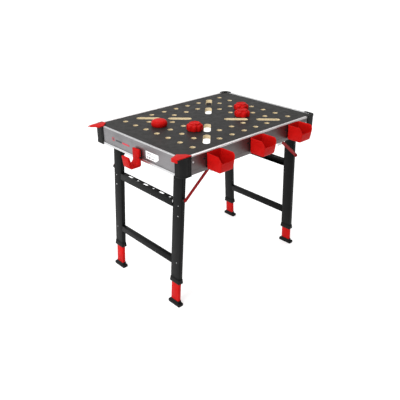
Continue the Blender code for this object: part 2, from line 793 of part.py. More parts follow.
def lobed_dog(name, column, row, height, lobes, bench):
    """Star-shaped dog with a raised hub."""
    outline = lobed_outline(DOG_RADIUS, lobes, LOBE_DEPTH)
    base = GAP
    rim = height - 0.006
    mesh = outline_mesh(name, [outline], rim - base, lift(base, rim))
    dog = part(name, mesh, "red_plastic", bench, dog_place(column, row))
    hub_length = height + SHANK_DEPTH
    hub_middle = (height - SHANK_DEPTH) / 2
    shank_centre = (0, 0, hub_middle - 0.001)
    shank = cylinder_mesh("shank", SHANK_RADIUS, hub_length - 0.002, shank_centre, segments=24)
    combine(dog, shank, "UNION")
    hub_radius = DOG_RADIUS * 0.72
    hub_tip = DOG_RADIUS * 0.62
    hub = cylinder_mesh("hub", hub_radius, 0.008, (0, 0, height - 0.004), segments=28, tip=hub_tip)
    combine(dog, hub, "UNION")


def bench_dogs(bench):
    smooth_dog("bench_dog_round", -3, 1, 0.036, bench)
    lobed_dog("bench_dog_star", -2, -1, 0.040, 8, bench)
    lobed_dog("bench_dog_rear", 3, 0, 0.038, 6, bench)
    lobed_dog("bench_dog_front", 2, -1, 0.038, 6, bench)


def bin_profile():
    """Side view of a bin: X away from the rail, Y up from the bin's floor."""
    depth = BIN_SIZE[1]
    height = BIN_SIZE[2]
    return [
        (0.0, 0.0),
        (depth - 0.006, 0.0),
        (depth, 0.006),
        (depth, height - BIN_SHOULDER),
        (depth - BIN_SHOULDER, height),
        (0.0, height),
    ]


def bin_hollow():
    """Side view of the space inside a bin, open at the top."""
    depth = BIN_SIZE[1]
    above = BIN_SIZE[2] + 0.03
    return [
        (BIN_WALL, BIN_WALL),
        (depth - 0.006, BIN_WALL),
        (depth - BIN_WALL, 0.006),
        (depth - BIN_WALL, above),
        (BIN_WALL, above),
    ]


def bin_scoop():
    """Front view of the part cut from a bin's front wall."""
    half = BIN_SIZE[0] / 2
    top = BIN_SIZE[2]
    lip = top - BIN_SCOOP
    shoulder = top - BIN_SHOULDER
    flat = half - BIN_SHOULDER
    return [
        (-flat, lip),
        (flat, lip),
        (half - 0.005, lip + 0.004),
        (half + 0.001, shoulder),
        (half + 0.001, top + 0.002),
        (-half - 0.001, top + 0.002),
        (-half - 0.001, shoulder),
        (-half + 0.005, lip + 0.004),
    ]


def storage_bin(name, centre_x, bench):
    """Open bin with a low front, hung on the front rail."""
    back_y = -(HALF_Y + BIN_GAP)
    floor_z = TOP_HEIGHT - BIN_TOP - BIN_SIZE[2]
    placed = upright((0, -1, 0), (0, 0, 1), (centre_x, back_y, floor_z))
    mesh = outline_mesh(name, [bin_profile()], BIN_SIZE[0], placed)
    shell = part(name, mesh, "red_plastic", bench)
    hollow = outline_mesh("hollow", [bin_hollow()], BIN_SIZE[0] - 2 * BIN_WALL, placed)
    combine(shell, hollow, "DIFFERENCE")
    front_y = back_y - BIN_SIZE[1]
    facing = upright((1, 0, 0), (0, 0, 1), (centre_x, front_y, floor_z))
    scoop = outline_mesh("scoop", [bin_scoop()], 2 * BIN_WALL + 0.002, facing)
    combine(shell, scoop, "DIFFERENCE")


def storage_bins(bench):
    for name, station in zip(("bin_left", "bin_middle", "bin_right"), BIN_STATIONS):
        storage_bin(name, station, bench)


def hook_outline():
    """Side view of the hook: X away from the bench, Y up from the worktop."""
    near = HALF_X + 0.004
    throat = HOOK_GAP / 2
    middle = near + HOOK_BACK + throat
    centre_y = throat + HOOK_BACK - HOOK_DROP
    heel = middle + throat + HOOK_ARM
    outline = [(near, -0.035), (near, 0.012 - HOOK_DROP), (near + 0.012, -HOOK_DROP)]
    outline += arc((heel - 0.014, 0.014 - HOOK_DROP), 0.014, 270, 360, 5)
    outline += [(HOOK_REACH, -HOOK_TIP - 0.004), (HOOK_REACH - 0.004, -HOOK_TIP)]
    outline += [(HOOK_REACH - HOOK_ARM + 0.003, -HOOK_TIP), (HOOK_REACH - HOOK_ARM, -HOOK_TIP - 0.003)]
    outline += arc((middle, centre_y), throat, 0, -180, 10)
    outline.append((near + HOOK_BACK, -0.035))
    return outline


def strap_hook(bench):
    """J-shaped hook on the left end rail."""
    placed = upright((-1, 0, 0), (0, 0, 1), (0, HOOK_Y, TOP_HEIGHT))
    mesh = outline_mesh("strap_hook", [hook_outline()], HOOK_WIDTH, placed)
    part("strap_hook", mesh, "red_plastic", bench)


def ear_pin(side):
    """Plan position of a corner stop's pin: the middle of the bracket's round corner."""
    x = -(HALF_X + BRACKET_PROUD - BRACKET_RADIUS)
    y = side * (HALF_Y + BRACKET_PROUD - BRACKET_RADIUS)
    return (x, y)


def corner_stop(name, side, outline, skirt, skirt_depth, bench):
    """Swivelling stop on a corner: a flat plate with a skirt outside the bench's end."""
    sign = SIDES[side]
    low = TOP_HEIGHT + RIM_HEIGHT + EAR_LIFT
    high = low + EAR_PLATE
    plan = [(-x, sign * y) for x, y in outline]
    stop = part(name, outline_mesh(name, [plan], EAR_PLATE, lift(low, high)), "red_plastic", bench)
    skirt_plan = [(-x, sign * y) for x, y in skirt]
    skirt_low = TOP_HEIGHT - skirt_depth
    skirt_high = high - 0.0005
    skirt_mesh = outline_mesh("skirt", [skirt_plan], skirt_high - skirt_low, lift(skirt_low, skirt_high))
    combine(stop, skirt_mesh, "UNION")
    pin_low = TOP_HEIGHT - 0.016
    pin_high = low + EAR_PLATE / 2
    centre = (*ear_pin(sign), (pin_low + pin_high) / 2)
    combine(stop, cylinder_mesh("pin", 0.0045, pin_high - pin_low, centre, segments=12), "UNION")


def corner_stops(bench):
    edge = EAR_HALF_Y
    skirt_edge = edge - 0.0005
    front = [(0.534, 0.318), (0.531, edge), (0.441, edge), (0.453, 0.327), (0.485, 0.299)]
    front_skirt = [(0.5335, 0.3185), (0.5305, skirt_edge), (0.5255, skirt_edge), (0.5285, 0.3175)]
    corner_stop("corner_stop_front", "front", front, front_skirt, 0.011, bench)
    rear = [(0.563, 0.327), (0.533, 0.336), (0.500, 0.3395), (0.461, 0.3400)]
    rear += [(0.457, 0.313), (0.497, 0.276), (0.523, 0.276), (0.5345, 0.300)]
    rear_skirt = [(0.5600, 0.3255), (0.5340, 0.3000), (0.5225, 0.2765), (0.5165, 0.2765), (0.5280, 0.3020)]
    corner_stop("corner_stop_rear", "rear", rear, rear_skirt, 0.0005, bench)


# --- assembly ---------------------------------------------------------------------------------

def build_bench():
    bench = empty("bench_origin", (SHIFT_X, SHIFT_Y, 0.0))
    worktop(bench)
    rails(bench)
    corner_brackets(bench)
    for side in SIDES:
        brace_track(side, bench)
    for end in ENDS:
        leg_frame(end, bench)
    bench_dogs(bench)
    storage_bins(bench)
    strap_hook(bench)
    corner_stops(bench)


build_bench()
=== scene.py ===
"""Looks for the folding workbench: finer shapes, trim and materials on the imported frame.

Metres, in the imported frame: +Z up, floor at Z = 0, X along the bench and Y across it.
Bench pieces are built in the coordinates of BENCH, whose origin is the middle of the
worktop's surface.  Leg pieces are built in LEG[end], whose origin is the frame's pivot and
whose Z runs up the leg.
"""

import json
import math

import bmesh
import bpy
from mathutils import Matrix, Vector


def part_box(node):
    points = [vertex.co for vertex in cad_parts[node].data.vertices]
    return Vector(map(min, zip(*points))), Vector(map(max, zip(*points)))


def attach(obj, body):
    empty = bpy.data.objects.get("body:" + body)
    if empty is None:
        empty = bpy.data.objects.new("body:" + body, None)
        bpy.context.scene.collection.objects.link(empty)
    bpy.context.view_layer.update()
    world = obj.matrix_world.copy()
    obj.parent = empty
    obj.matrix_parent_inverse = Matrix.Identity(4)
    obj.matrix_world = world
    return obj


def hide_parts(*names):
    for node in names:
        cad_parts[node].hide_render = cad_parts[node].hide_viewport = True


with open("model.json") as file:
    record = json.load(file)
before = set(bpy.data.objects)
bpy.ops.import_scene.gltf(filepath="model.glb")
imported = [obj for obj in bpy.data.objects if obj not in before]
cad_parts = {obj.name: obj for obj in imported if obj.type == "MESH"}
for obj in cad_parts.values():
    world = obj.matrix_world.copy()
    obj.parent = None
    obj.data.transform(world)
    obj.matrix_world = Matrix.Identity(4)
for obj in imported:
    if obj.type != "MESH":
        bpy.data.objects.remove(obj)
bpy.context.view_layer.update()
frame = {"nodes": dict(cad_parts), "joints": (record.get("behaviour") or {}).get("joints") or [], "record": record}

ENDS = {"left": -1, "right": 1}
SIDES = {"front": -1, "rear": 1}
BODY = {node: body for body, nodes in frame["record"]["behaviour"]["bodies"].items() for node in nodes}
JOINTS = {joint["name"]: joint for joint in frame["joints"]}

# --- driving dimensions ---

HOLE_PITCH = 0.090
HOLE_RADIUS = 0.0135
SLOT_WIDTH = 0.036
SLOT_LENGTH = 0.130
SLOT_OFFSETS = (1.22, 2.60)      # slot centres along the diagonals, in grid pitches
BOARD_EDGE = 0.0005              # broken edge of the board and its holes

RIM_WIDTH = 0.014
RIM_ROUND = 0.0060               # rounded outer edge of the long rails' rims
RIM_HEIGHT = 0.0018
RAIL_CUT = 0.030
RAIL_WALL = 0.0025
BRACKET_RADIUS = 0.030
BRACKET_PROUD = 0.004
GAP = 0.0003

DOG_RADIUS = 0.043
SHANK_RADIUS = 0.012             # the dogs' pins
SHANK_DEPTH = 0.019

BRACE_INSIDE = 0.2980            # inner face of the braces from the middle
BRACE_OUTSIDE = 0.3010           # and their outer face
GUIDE_X = 0.258                  # plates beside the braces, from the middle
GUIDE_LENGTH = 0.036
GUIDE_SHEET = 0.0022
GUIDE_LIP = -0.095               # heights of a plate's top and of its lower edge
GUIDE_HANG = -0.137

HOOK_BACK = 0.013                # thickness against the rail
HOOK_GAP = 0.046                 # between its two arms
HOOK_ARM = 0.012                 # thickness of the outer arm
HOOK_TIP = 0.059                 # tip below the worktop

BIN_WALL = 0.0024
BIN_TAPER = 0.003                # how much narrower the bin is at its floor
BIN_SCOOP = 0.033                # low front below the sides
BIN_SLOPE_BACK = 0.019           # where the edge starts to drop, before the corner
BIN_SLOPE_FRONT = 0.018          # and where it is down, past the corner
BIN_CORNER_STEPS = 6
BIN_SIDE_STEPS = 24

STOP_EDGE = 0.3565               # side of the front stop, from the middle
EMBLEM = (0.186, -0.044)         # middles of the films on the left end rail, in Y and Z
LABEL = (-0.138, -0.0495)
LABEL_MARKS = (                  # start, end, height and thickness of plain bars
    (-0.041, -0.006, 0.0105, 0.0040),
    (-0.041, 0.024, 0.0025, 0.0022),
    (-0.041, -0.030, -0.0100, 0.0085),
    (-0.024, -0.013, -0.0100, 0.0085),
    (-0.006, 0.018, -0.0115, 0.0050),
)

CAMERA_OFFSET = (-1.8383, -1.9049, 0.8265)   # from the worktop's middle
CAMERA_TURN = (63.371, 0.0, -43.044)         # degrees
CAMERA_LENS = 44.64
LIGHT_LEVEL = 0.80                           # the sky's mean brightness
LIGHT_SLOPE = (-0.45, 0.25, 0.0)             # and how it grows along each axis


# --- places ---

def extent(node, place=Matrix.Identity(4)):
    """Lowest and highest corner of a CAD node, in the coordinates of a place."""
    inverse = place.inverted()
    points = [inverse @ vertex.co for vertex in frame["nodes"][node].data.vertices]
    low = Vector([min(point[axis] for point in points) for axis in range(3)])
    high = Vector([max(point[axis] for point in points) for axis in range(3)])
    return low, high


def bench_place():
    low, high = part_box("top_panel")
    return Matrix.Translation(((low.x + high.x) / 2, (low.y + high.y) / 2, high.z))


def leg_place(end):
    pivot = Vector(JOINTS[f"{end}_legs_fold"]["pos_m"])
    up = Vector(JOINTS[f"leg_height_front_{end}"]["axis"]).normalized()
    across = Vector((0, 1, 0))
    turn = Matrix((across.cross(up), across, up)).transposed().to_4x4()
    return Matrix.Translation(pivot) @ turn


BENCH = bench_place()
LEG = {end: leg_place(end) for end in ENDS}
BRACKET_BOX = extent("corner_bracket_rear_right", BENCH)
HALF_X_FACE = BRACKET_BOX[1].x - BRACKET_PROUD      # outer face of the end rails
HALF_Y = BRACKET_BOX[1].y - BRACKET_PROUD           # outer face of the long rails


# --- materials ---

def new_material(name, colour, roughness, metallic=0.0, specular=0.5):
    """A Principled material; everything that is even all over is set on its own socket."""
    material = bpy.data.materials.new(name)
    material.use_nodes = True
    shader = material.node_tree.nodes["Principled BSDF"]
    shader.inputs["Base Color"].default_value = (*colour, 1.0)
    shader.inputs["Roughness"].default_value = roughness
    shader.inputs["Metallic"].default_value = metallic
    shader.inputs["Specular IOR Level"].default_value = specular
    return material


def noise(material, scale, detail=3.0, stretch=(1.0, 1.0, 1.0), roughness=0.5):
    """Noise in the piece's own coordinates; scale is in waves per metre."""
    nodes = material.node_tree.nodes
    links = material.node_tree.links
    coordinates = nodes.new("ShaderNodeTexCoord")
    mapping = nodes.new("ShaderNodeMapping")
    mapping.inputs["Scale"].default_value = stretch
    texture = nodes.new("ShaderNodeTexNoise")
    texture.inputs["Scale"].default_value = scale
    texture.inputs["Detail"].default_value = detail
    texture.inputs["Roughness"].default_value = roughness
    links.new(coordinates.outputs["Object"], mapping.inputs["Vector"])
    links.new(mapping.outputs["Vector"], texture.inputs["Vector"])
    return texture.outputs["Fac"]


def ramp(material, value, stops):
    """Colours along a value; stops are (position, colour)."""
    node = material.node_tree.nodes.new("ShaderNodeValToRGB")
    elements = node.color_ramp.elements
    while len(elements) < len(stops):
        elements.new(0.5)
    for element, (position, colour) in zip(elements, stops):
        element.position = position
        element.color = (*colour, 1.0)
    material.node_tree.links.new(value, node.inputs["Fac"])
    return node.outputs["Color"]


def grey(value):
    return (value, value, value)


def tint(colour, factor):
    return tuple(min(1.0, channel * factor) for channel in colour)


def use_colour(material, value):
    shader = material.node_tree.nodes["Principled BSDF"]
    material.node_tree.links.new(value, shader.inputs["Base Color"])


def use_roughness(material, value, low, high):
    """Roughness that wanders between low and high with the value."""
    shader = material.node_tree.nodes["Principled BSDF"]
    spread = ramp(material, value, [(0.3, grey(low)), (0.7, grey(high))])
    material.node_tree.links.new(spread, shader.inputs["Roughness"])


def use_bump(material, value, strength, distance):
    nodes = material.node_tree.nodes
    bump = nodes.new("ShaderNodeBump")
    bump.inputs["Strength"].default_value = strength
    bump.inputs["Distance"].default_value = distance
    material.node_tree.links.new(value, bump.inputs["Height"])
    shader = nodes["Principled BSDF"]
    material.node_tree.links.new(bump.outputs["Normal"], shader.inputs["Normal"])


def mixed(material, factor, first, second):
    """One colour over another, where factor is 1."""
    node = material.node_tree.nodes.new("ShaderNodeMix")
    node.data_type = "RGBA"
    links = material.node_tree.links
    links.new(factor, node.inputs["Factor"])
    links.new(first, node.inputs["A"])
    links.new(second, node.inputs["B"])
    return node.outputs["Result"]


def laminate():
    """Black laminate with a fine pebble and faint rubbed streaks."""
    colour = (0.0150, 0.0142, 0.0135)
    material = new_material("laminate", colour, 0.42, specular=0.10)
    base = ramp(material, noise(material, 60, 4.0), [(0.3, tint(colour, 0.88)), (0.7, tint(colour, 1.14))])
    streaks = noise(material, 9, 6.0, (1.0, 26.0, 1.0), 0.65)
    rubbed = ramp(material, streaks, [(0.60, grey(0.0)), (0.78, grey(0.35))])
    lighter = ramp(material, streaks, [(0.0, tint(colour, 1.7)), (1.0, tint(colour, 1.7))])
    use_colour(material, mixed(material, rubbed, base, lighter))
    use_roughness(material, noise(material, 35, 5.0), 0.36, 0.50)
    use_bump(material, noise(material, 1500, 2.0), 0.25, 0.0002)
    return material


def wood_core():
    """Pressed wood fibre at the board's cut edges, with its layers lying flat."""
    colour = (0.66, 0.545, 0.345)
    material = new_material("wood_core", colour, 0.85, specular=0.2)
    fibres = noise(material, 260, 5.0, (1.0, 1.0, 4.0), 0.7)
    use_colour(material, ramp(material, fibres, [(0.3, tint(colour, 0.72)), (0.7, tint(colour, 1.12))]))
    use_bump(material, fibres, 0.5, 0.0004)
    return material


def brushed_metal(name, colour, along, roughness):
    """Metal with fine drawing lines along one axis: 0 is X, 1 is Y and 2 is Z."""
    material = new_material(name, colour, roughness, metallic=1.0)
    stretch = [1.0, 1.0, 1.0]
    stretch[along] = 0.012
    lines = noise(material, 900, 2.0, stretch)
    cloud = noise(material, 14, 4.0)
    drawn = ramp(material, lines, [(0.3, tint(colour, 0.90)), (0.7, tint(colour, 1.06))])
    dulled = ramp(material, lines, [(0.3, tint(colour, 0.78)), (0.7, tint(colour, 0.95))])
    patches = ramp(material, cloud, [(0.42, grey(0)), (0.70, grey(1))])
    use_colour(material, mixed(material, patches, drawn, dulled))
    use_roughness(material, cloud, roughness - 0.05, roughness + 0.08)
    use_bump(material, lines, 0.10, 0.0001)
    return material


def powder_coat(name, colour, roughness, specular):
    """Powder coat: orange peel, slight clouding and paler scuffs."""
    material = new_material(name, colour, roughness, specular=specular)
    cloud = noise(material, 22, 4.0)
    base = ramp(material, cloud, [(0.3, tint(colour, 0.86)), (0.7, tint(colour, 1.12))])
    scuffs = noise(material, 130, 6.0, (1.0, 1.0, 0.35), 0.7)
    marks = ramp(material, scuffs, [(0.66, grey(0.0)), (0.74, grey(0.55))])
    pale = ramp(material, scuffs, [(0.0, tint(colour, 1.5)), (1.0, tint(colour, 2.0))])
    use_colour(material, mixed(material, marks, base, pale))
    use_roughness(material, scuffs, roughness - 0.06, roughness + 0.10)
    use_bump(material, noise(material, 750, 2.0), 0.22, 0.0003)
    return material


def moulded(name, colour, roughness, specular):
    """Moulded plastic: fine eroded grain and a faint flow pattern."""
    material = new_material(name, colour, roughness, specular=specular)
    flow = noise(material, 18, 5.0, (1.0, 1.0, 2.5))
    use_colour(material, ramp(material, flow, [(0.3, tint(colour, 0.88)), (0.7, tint(colour, 1.10))]))
    use_roughness(material, flow, roughness - 0.04, roughness + 0.07)
    use_bump(material, noise(material, 1300, 3.0), 0.18, 0.0002)
    return material


def printed(name, colour):
    """Thin printed film."""
    material = new_material(name, colour, 0.45, specular=0.35)
    grain = noise(material, 400, 3.0)
    use_colour(material, ramp(material, grain, [(0.3, tint(colour, 0.94)), (0.7, tint(colour, 1.03))]))
    return material


LAMINATE = laminate()
CORE = wood_core()
# Lit and shaded copies of one aluminium: the long rails' darker, reddish copy is painted shade with a painted
# reflection of the red parts, and the end rails' paler copy is painted light.
SHADED_RAIL_METAL = brushed_metal("shaded_lengthwise_aluminium", (0.130, 0.116, 0.116), 0, 0.40)
LIT_RAIL_METAL = brushed_metal("lit_across_aluminium", (0.255, 0.250, 0.258), 1, 0.40)
# Pale copies of the aluminium, painted highlights on the rims and the end rails' foot bead; the across one also
# colours the rail screws.
HIGHLIGHT_RAIL_METAL = brushed_metal("highlight_lengthwise_aluminium", (0.93, 0.89, 0.89), 0, 0.34)
HIGHLIGHT_AND_SCREW_METAL = brushed_metal("highlight_and_screw_across_aluminium", (0.66, 0.66, 0.67), 1, 0.32)
ZINC = brushed_metal("zinc", (0.52, 0.52, 0.53), 0, 0.36)
BLACK_STEEL = powder_coat("black_powder_coat", (0.0050, 0.0052, 0.0053), 0.44, 0.09)
BLACK_PLASTIC = moulded("black_moulding", (0.0055, 0.0055, 0.0055), 0.50, 0.14)
RED_STEEL = powder_coat("red_powder_coat", (0.50, 0.0040, 0.0035), 0.38, 0.05)
# A darker copy of the red powder coat for the braces and their bolts: painted shade under the worktop.
SHADED_BRACE_RED = powder_coat("brace_red_painted_shade", (0.25, 0.0030, 0.0050), 0.40, 0.07)
RED_PLASTIC = moulded("red_moulding", (0.43, 0.0046, 0.0036), 0.38, 0.05)
LABEL_WHITE = printed("label_white", (0.80, 0.80, 0.80))
LABEL_GREY = printed("label_grey", (0.25, 0.25, 0.26))
LABEL_RED = printed("label_red", (0.50, 0.03, 0.05))
LABEL_DARK = printed("label_dark", (0.04, 0.04, 0.045))


# --- mesh builders ---

def arc(centre, radius, start, end, steps):
    """Points along an arc, angles in degrees, both ends included."""
    points = []
    for step in range(steps + 1):
        angle = math.radians(start + (end - start) * step / steps)
        points.append((centre[0] + radius * math.cos(angle), centre[1] + radius * math.sin(angle)))
    return points


def circle(centre, radius, steps=40):
    return arc(centre, radius, 0, 360 - 360 / steps, steps - 1)


def rounded_box(half_x, half_y, radius, steps=5, centre=(0, 0)):
    points = []
    for sign_x, sign_y, start in ((1, 1, 0), (-1, 1, 90), (-1, -1, 180), (1, -1, 270)):
        corner = (centre[0] + sign_x * (half_x - radius), centre[1] + sign_y * (half_y - radius))
        points += arc(corner, radius, start, start + 90, steps)
    return points


def slot_outline(centre, length, width, heading, steps=16):
    """A slot with round ends; heading in degrees."""
    reach = (length - width) / 2
    step_x = reach * math.cos(math.radians(heading))
    step_y = reach * math.sin(math.radians(heading))
    far = (centre[0] + step_x, centre[1] + step_y)
    near = (centre[0] - step_x, centre[1] - step_y)
    return (
        arc(far, width / 2, heading - 90, heading + 90, steps)
        + arc(near, width / 2, heading + 90, heading + 270, steps)
    )


def rounded(points, radius, steps=5):
    """A polygon with every corner rounded; a short side lowers its corners' radius."""
    made = []
    count = len(points)
    for index, point in enumerate(points):
        corner = Vector(point)
        before = Vector(points[index - 1]) - corner
        after = Vector(points[(index + 1) % count]) - corner
        angle = before.angle(after)
        reach = min(radius / math.tan(angle / 2), before.length * 0.49, after.length * 0.49)
        start = corner + before.normalized() * reach
        end = corner + after.normalized() * reach
        for step in range(steps + 1):
            share = step / steps
            first = start.lerp(corner, share)
            second = corner.lerp(end, share)
            made.append(tuple(first.lerp(second, share)))
    return made


def tidy(mesh, angle=35):
    """Weld, point the faces outwards and shade smooth up to an angle."""
    bm = bmesh.new()
    bm.from_mesh(mesh)
    bmesh.ops.remove_doubles(bm, verts=bm.verts, dist=0.000005)
    bmesh.ops.recalc_face_normals(bm, faces=bm.faces)
    bm.to_mesh(mesh)
    bm.free()
    mesh.shade_smooth()
    mesh.set_sharp_from_angle(angle=math.radians(angle))
    return mesh


def outline_mesh(loops, thickness, place=Matrix.Identity(4), edge=0.0, edge_steps=2):
    """A flat outline with holes, thickened evenly about its plane, with rounded edges."""
    curve = bpy.data.curves.new("outline", "CURVE")
    curve.dimensions = "2D"
    curve.fill_mode = "BOTH"
    curve.extrude = thickness / 2 - edge
    curve.bevel_depth = edge
    curve.bevel_resolution = edge_steps
    curve.offset = -edge
    for loop in loops:
        spline = curve.splines.new("POLY")
        spline.points.add(len(loop) - 1)
        for point, (x, y) in zip(spline.points, loop):
            point.co = (x, y, 0.0, 1.0)
        spline.use_cyclic_u = True
    guide = bpy.data.objects.new("outline", curve)
    bpy.context.scene.collection.objects.link(guide)
    mesh = bpy.data.meshes.new_from_object(guide.evaluated_get(bpy.context.evaluated_depsgraph_get()))
    bpy.data.objects.remove(guide)
    mesh.materials.clear()
    mesh.transform(place)
    return tidy(mesh)


def lift(low, high):
    return Matrix.Translation((0, 0, (low + high) / 2))


def upright(right, up, centre=(0, 0, 0)):
    """Place an outline with its X along the vector right and its Y along up."""
    right = Vector(right)
    up = Vector(up)
    turn = Matrix((right, up, right.cross(up))).transposed().to_4x4()
    return Matrix.Translation(centre) @ turn


def loft_mesh(rings, closed=False, angle=35):
    """Quads between rings of equally many points; closed joins the last ring to the first."""
    bm = bmesh.new()
    rows = [[bm.verts.new(point) for point in ring] for ring in rings]
    pairs = list(zip(rows, rows[1:]))
    if closed:
        pairs.append((rows[-1], rows[0]))
    else:
        bm.faces.new(rows[0])
        bm.faces.new(rows[-1])
    count = len(rows[0])
    for lower, upper in pairs:
        for index in range(count):
            following = (index + 1) % count
            bm.faces.new((lower[index], lower[following], upper[following], upper[index]))
    mesh = bpy.data.meshes.new("loft")
    bm.to_mesh(mesh)
    bm.free()
    return tidy(mesh, angle)


def box_ring(half_x, half_y, radius, height, centre=(0, 0), steps=4):
    return [(x, y, height) for x, y in rounded_box(half_x, half_y, radius, steps, centre)]


def turned_mesh(profile, steps=40, angle=35):
    """A solid turned about Z from (radius, height) points."""
    rings = []
    for radius, height in profile:
        rings.append([(x, y, height) for x, y in circle((0, 0), max(radius, 0.00002), steps)])
    return loft_mesh(rings, angle=angle)


def lobed_mesh(profile, lobes, steps=120, angle=40):
    """A knob from (radius, height, scallop depth, twist in degrees) rings."""
    rings = []
    for radius, height, depth, twist in profile:
        ring = []
        for step in range(steps):
            turn = 2 * math.pi * step / steps
            dip = (0.5 - 0.5 * math.cos(lobes * (turn - math.radians(twist)))) ** 2
            reach = radius - depth * dip
            ring.append((reach * math.cos(turn), reach * math.sin(turn), height))
        rings.append(ring)
    return loft_mesh(rings, angle=angle)


def with_modifiers(mesh, *modifiers):
    """The mesh with modifiers applied; each is a type and its settings."""
    guide = bpy.data.objects.new("guide", mesh)
    bpy.context.scene.collection.objects.link(guide)
    for kind, settings in modifiers:
        modifier = guide.modifiers.new(kind, kind)
        for setting, value in settings.items():
            setattr(modifier, setting, value)
    made = bpy.data.meshes.new_from_object(guide.evaluated_get(bpy.context.evaluated_depsgraph_get()))
    bpy.data.objects.remove(guide)
    return made


def combined(mesh, operation, others):
    """Join other closed meshes on (UNION) or cut them out (DIFFERENCE)."""
    guides = []
    steps = []
    for other in others:
        guide = bpy.data.objects.new("guide", other)
        bpy.context.scene.collection.objects.link(guide)
        guides.append(guide)
        steps.append(("BOOLEAN", {"operation": operation, "solver": "EXACT", "object": guide}))
    made = with_modifiers(mesh, *steps)
    for guide in guides:
        bpy.data.objects.remove(guide)
    return tidy(made)


def softened(mesh, width, segments=2):
    settings = {
        "width": width,
        "segments": segments,
        "limit_method": "ANGLE",
        "angle_limit": math.radians(40),
        "harden_normals": False,
    }
    return tidy(with_modifiers(mesh, ("BEVEL", settings)))


def cad_copy(node, width):
    """The CAD node's own shape as a new mesh, with its edges broken."""
    bm = bmesh.new()
    bm.from_mesh(frame["nodes"][node].data)
    bmesh.ops.remove_doubles(bm, verts=bm.verts, dist=0.00001)
    bmesh.ops.dissolve_limit(bm, angle_limit=math.radians(1), verts=bm.verts, edges=bm.edges)
    mesh = bpy.data.meshes.new(node)
    bm.to_mesh(mesh)
    bm.free()
    mesh.materials.clear()
    return softened(mesh, width)


def piece(name, mesh, materials, body, place=Matrix.Identity(4), stands_for=()):
    """A finished piece that rides on a body, with its materials in the order given."""
    mesh.transform(place)
    mesh.name = name
    mesh.materials.clear()
    if not isinstance(materials, tuple):
        materials = (materials,)
    for material in materials:
        mesh.materials.append(material)
    obj = bpy.data.objects.new(name, mesh)
    bpy.context.scene.collection.objects.link(obj)
    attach(obj, body)
    if stands_for:
        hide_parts(*stands_for)
    return obj


def cad_piece(name, node, width, material):
    """A node's own shape with broken edges, in the node's place."""
    return piece(name, cad_copy(node, width), material, BODY[node], stands_for=(node,))


def paint_faces(obj, choose):
    """Give each face the material index that choose(face) says."""
    for face in obj.data.polygons:
        face.material_index = choose(face)


# --- stage ---

def area_light(name, place, aim, size, watts):
    data = bpy.data.lights.new(name, "AREA")
    data.shape = "SQUARE"
    data.size = size
    data.energy = watts
    light = bpy.data.objects.new(name, data)
    light.location = place
    light.rotation_euler = (Vector(aim) - Vector(place)).to_track_quat("-Z", "Y").to_euler()
    bpy.context.scene.collection.objects.link(light)


def studio_world():
    """White behind everything; as light it is brighter from the left and the back."""
    world = bpy.data.worlds.new("studio")
    world.use_nodes = True
    bpy.context.scene.world = world
    nodes = world.node_tree.nodes
    links = world.node_tree.links
    coordinates = nodes.new("ShaderNodeTexCoord")
    slope = nodes.new("ShaderNodeVectorMath")
    slope.operation = "DOT_PRODUCT"
    slope.inputs[1].default_value = LIGHT_SLOPE
    level = nodes.new("ShaderNodeMath")
    level.inputs[1].default_value = LIGHT_LEVEL
    links.new(coordinates.outputs["Generated"], slope.inputs[0])
    links.new(slope.outputs["Value"], level.inputs[0])
    links.new(level.outputs["Value"], nodes["Background"].inputs["Strength"])
    white = nodes.new("ShaderNodeBackground")
    white.inputs["Strength"].default_value = 1.1
    nodes["Background"].inputs["Color"].default_value = (1.0, 1.0, 1.0, 1.0)
    white.inputs["Color"].default_value = (1.0, 1.0, 1.0, 1.0)
    path = nodes.new("ShaderNodeLightPath")
    choice = nodes.new("ShaderNodeMixShader")
    links.new(path.outputs["Is Camera Ray"], choice.inputs["Fac"])
    links.new(nodes["Background"].outputs["Background"], choice.inputs[1])
    links.new(white.outputs["Background"], choice.inputs[2])
    links.new(choice.outputs["Shader"], nodes["World Output"].inputs["Surface"])


def paper_floor():
    """A pale floor that glows a little, so that shadows on it stay faint."""
    size = 40.0
    corners = [(-size, -size), (size, -size), (size, size), (-size, size)]
    mesh = outline_mesh([corners], 0.02, Matrix.Translation((0, 0, -0.0105)))
    paper = new_material("paper", (0.60, 0.60, 0.60), 0.80, specular=0.1)
    shader = paper.node_tree.nodes["Principled BSDF"]
    shader.inputs["Emission Color"].default_value = (1.0, 1.0, 1.0, 1.0)
    shader.inputs["Emission Strength"].default_value = 0.62
    mesh.materials.append(paper)
    floor = bpy.data.objects.new("floor", mesh)
    bpy.context.scene.collection.objects.link(floor)


def build_stage():
    studio_world()
    paper_floor()
    area_light("key", (-2.6, -0.6, 2.9), (0, 0, 0.6), 1.6, 60)
    area_light("top", (0.4, 0.6, 3.2), (0, 0, 0.8), 2.4, 40)
    bpy.context.scene.view_settings.view_transform = "Standard"


def build_camera():
    data = bpy.data.cameras.new("camera")
    data.sensor_width = 36.0
    data.lens = CAMERA_LENS
    data.clip_end = 60.0
    camera = bpy.data.objects.new("camera", data)
    camera.location = BENCH.translation + Vector(CAMERA_OFFSET)
    camera.rotation_euler = [math.radians(angle) for angle in CAMERA_TURN]
    bpy.context.scene.collection.objects.link(camera)
    bpy.context.scene.camera = camera


# --- worktop ---

def dog_hole_centres():
    rows_by_column = {
        4: range(-3, 4),
        3: range(-2, 3),
        2: (-3, -1, 0, 1, 3),
        1: (-3, -2, 2, 3),
        0: (-3, -2, 2, 3),
    }
    centres = []
    for column in range(-4, 5):
        centres += [(column * HOLE_PITCH, row * HOLE_PITCH) for row in rows_by_column[abs(column)]]
    return centres


def stop_pins():
    return [Vector(JOINTS[f"{side}_stop_swivel"]["pos_m"]) for side in SIDES]


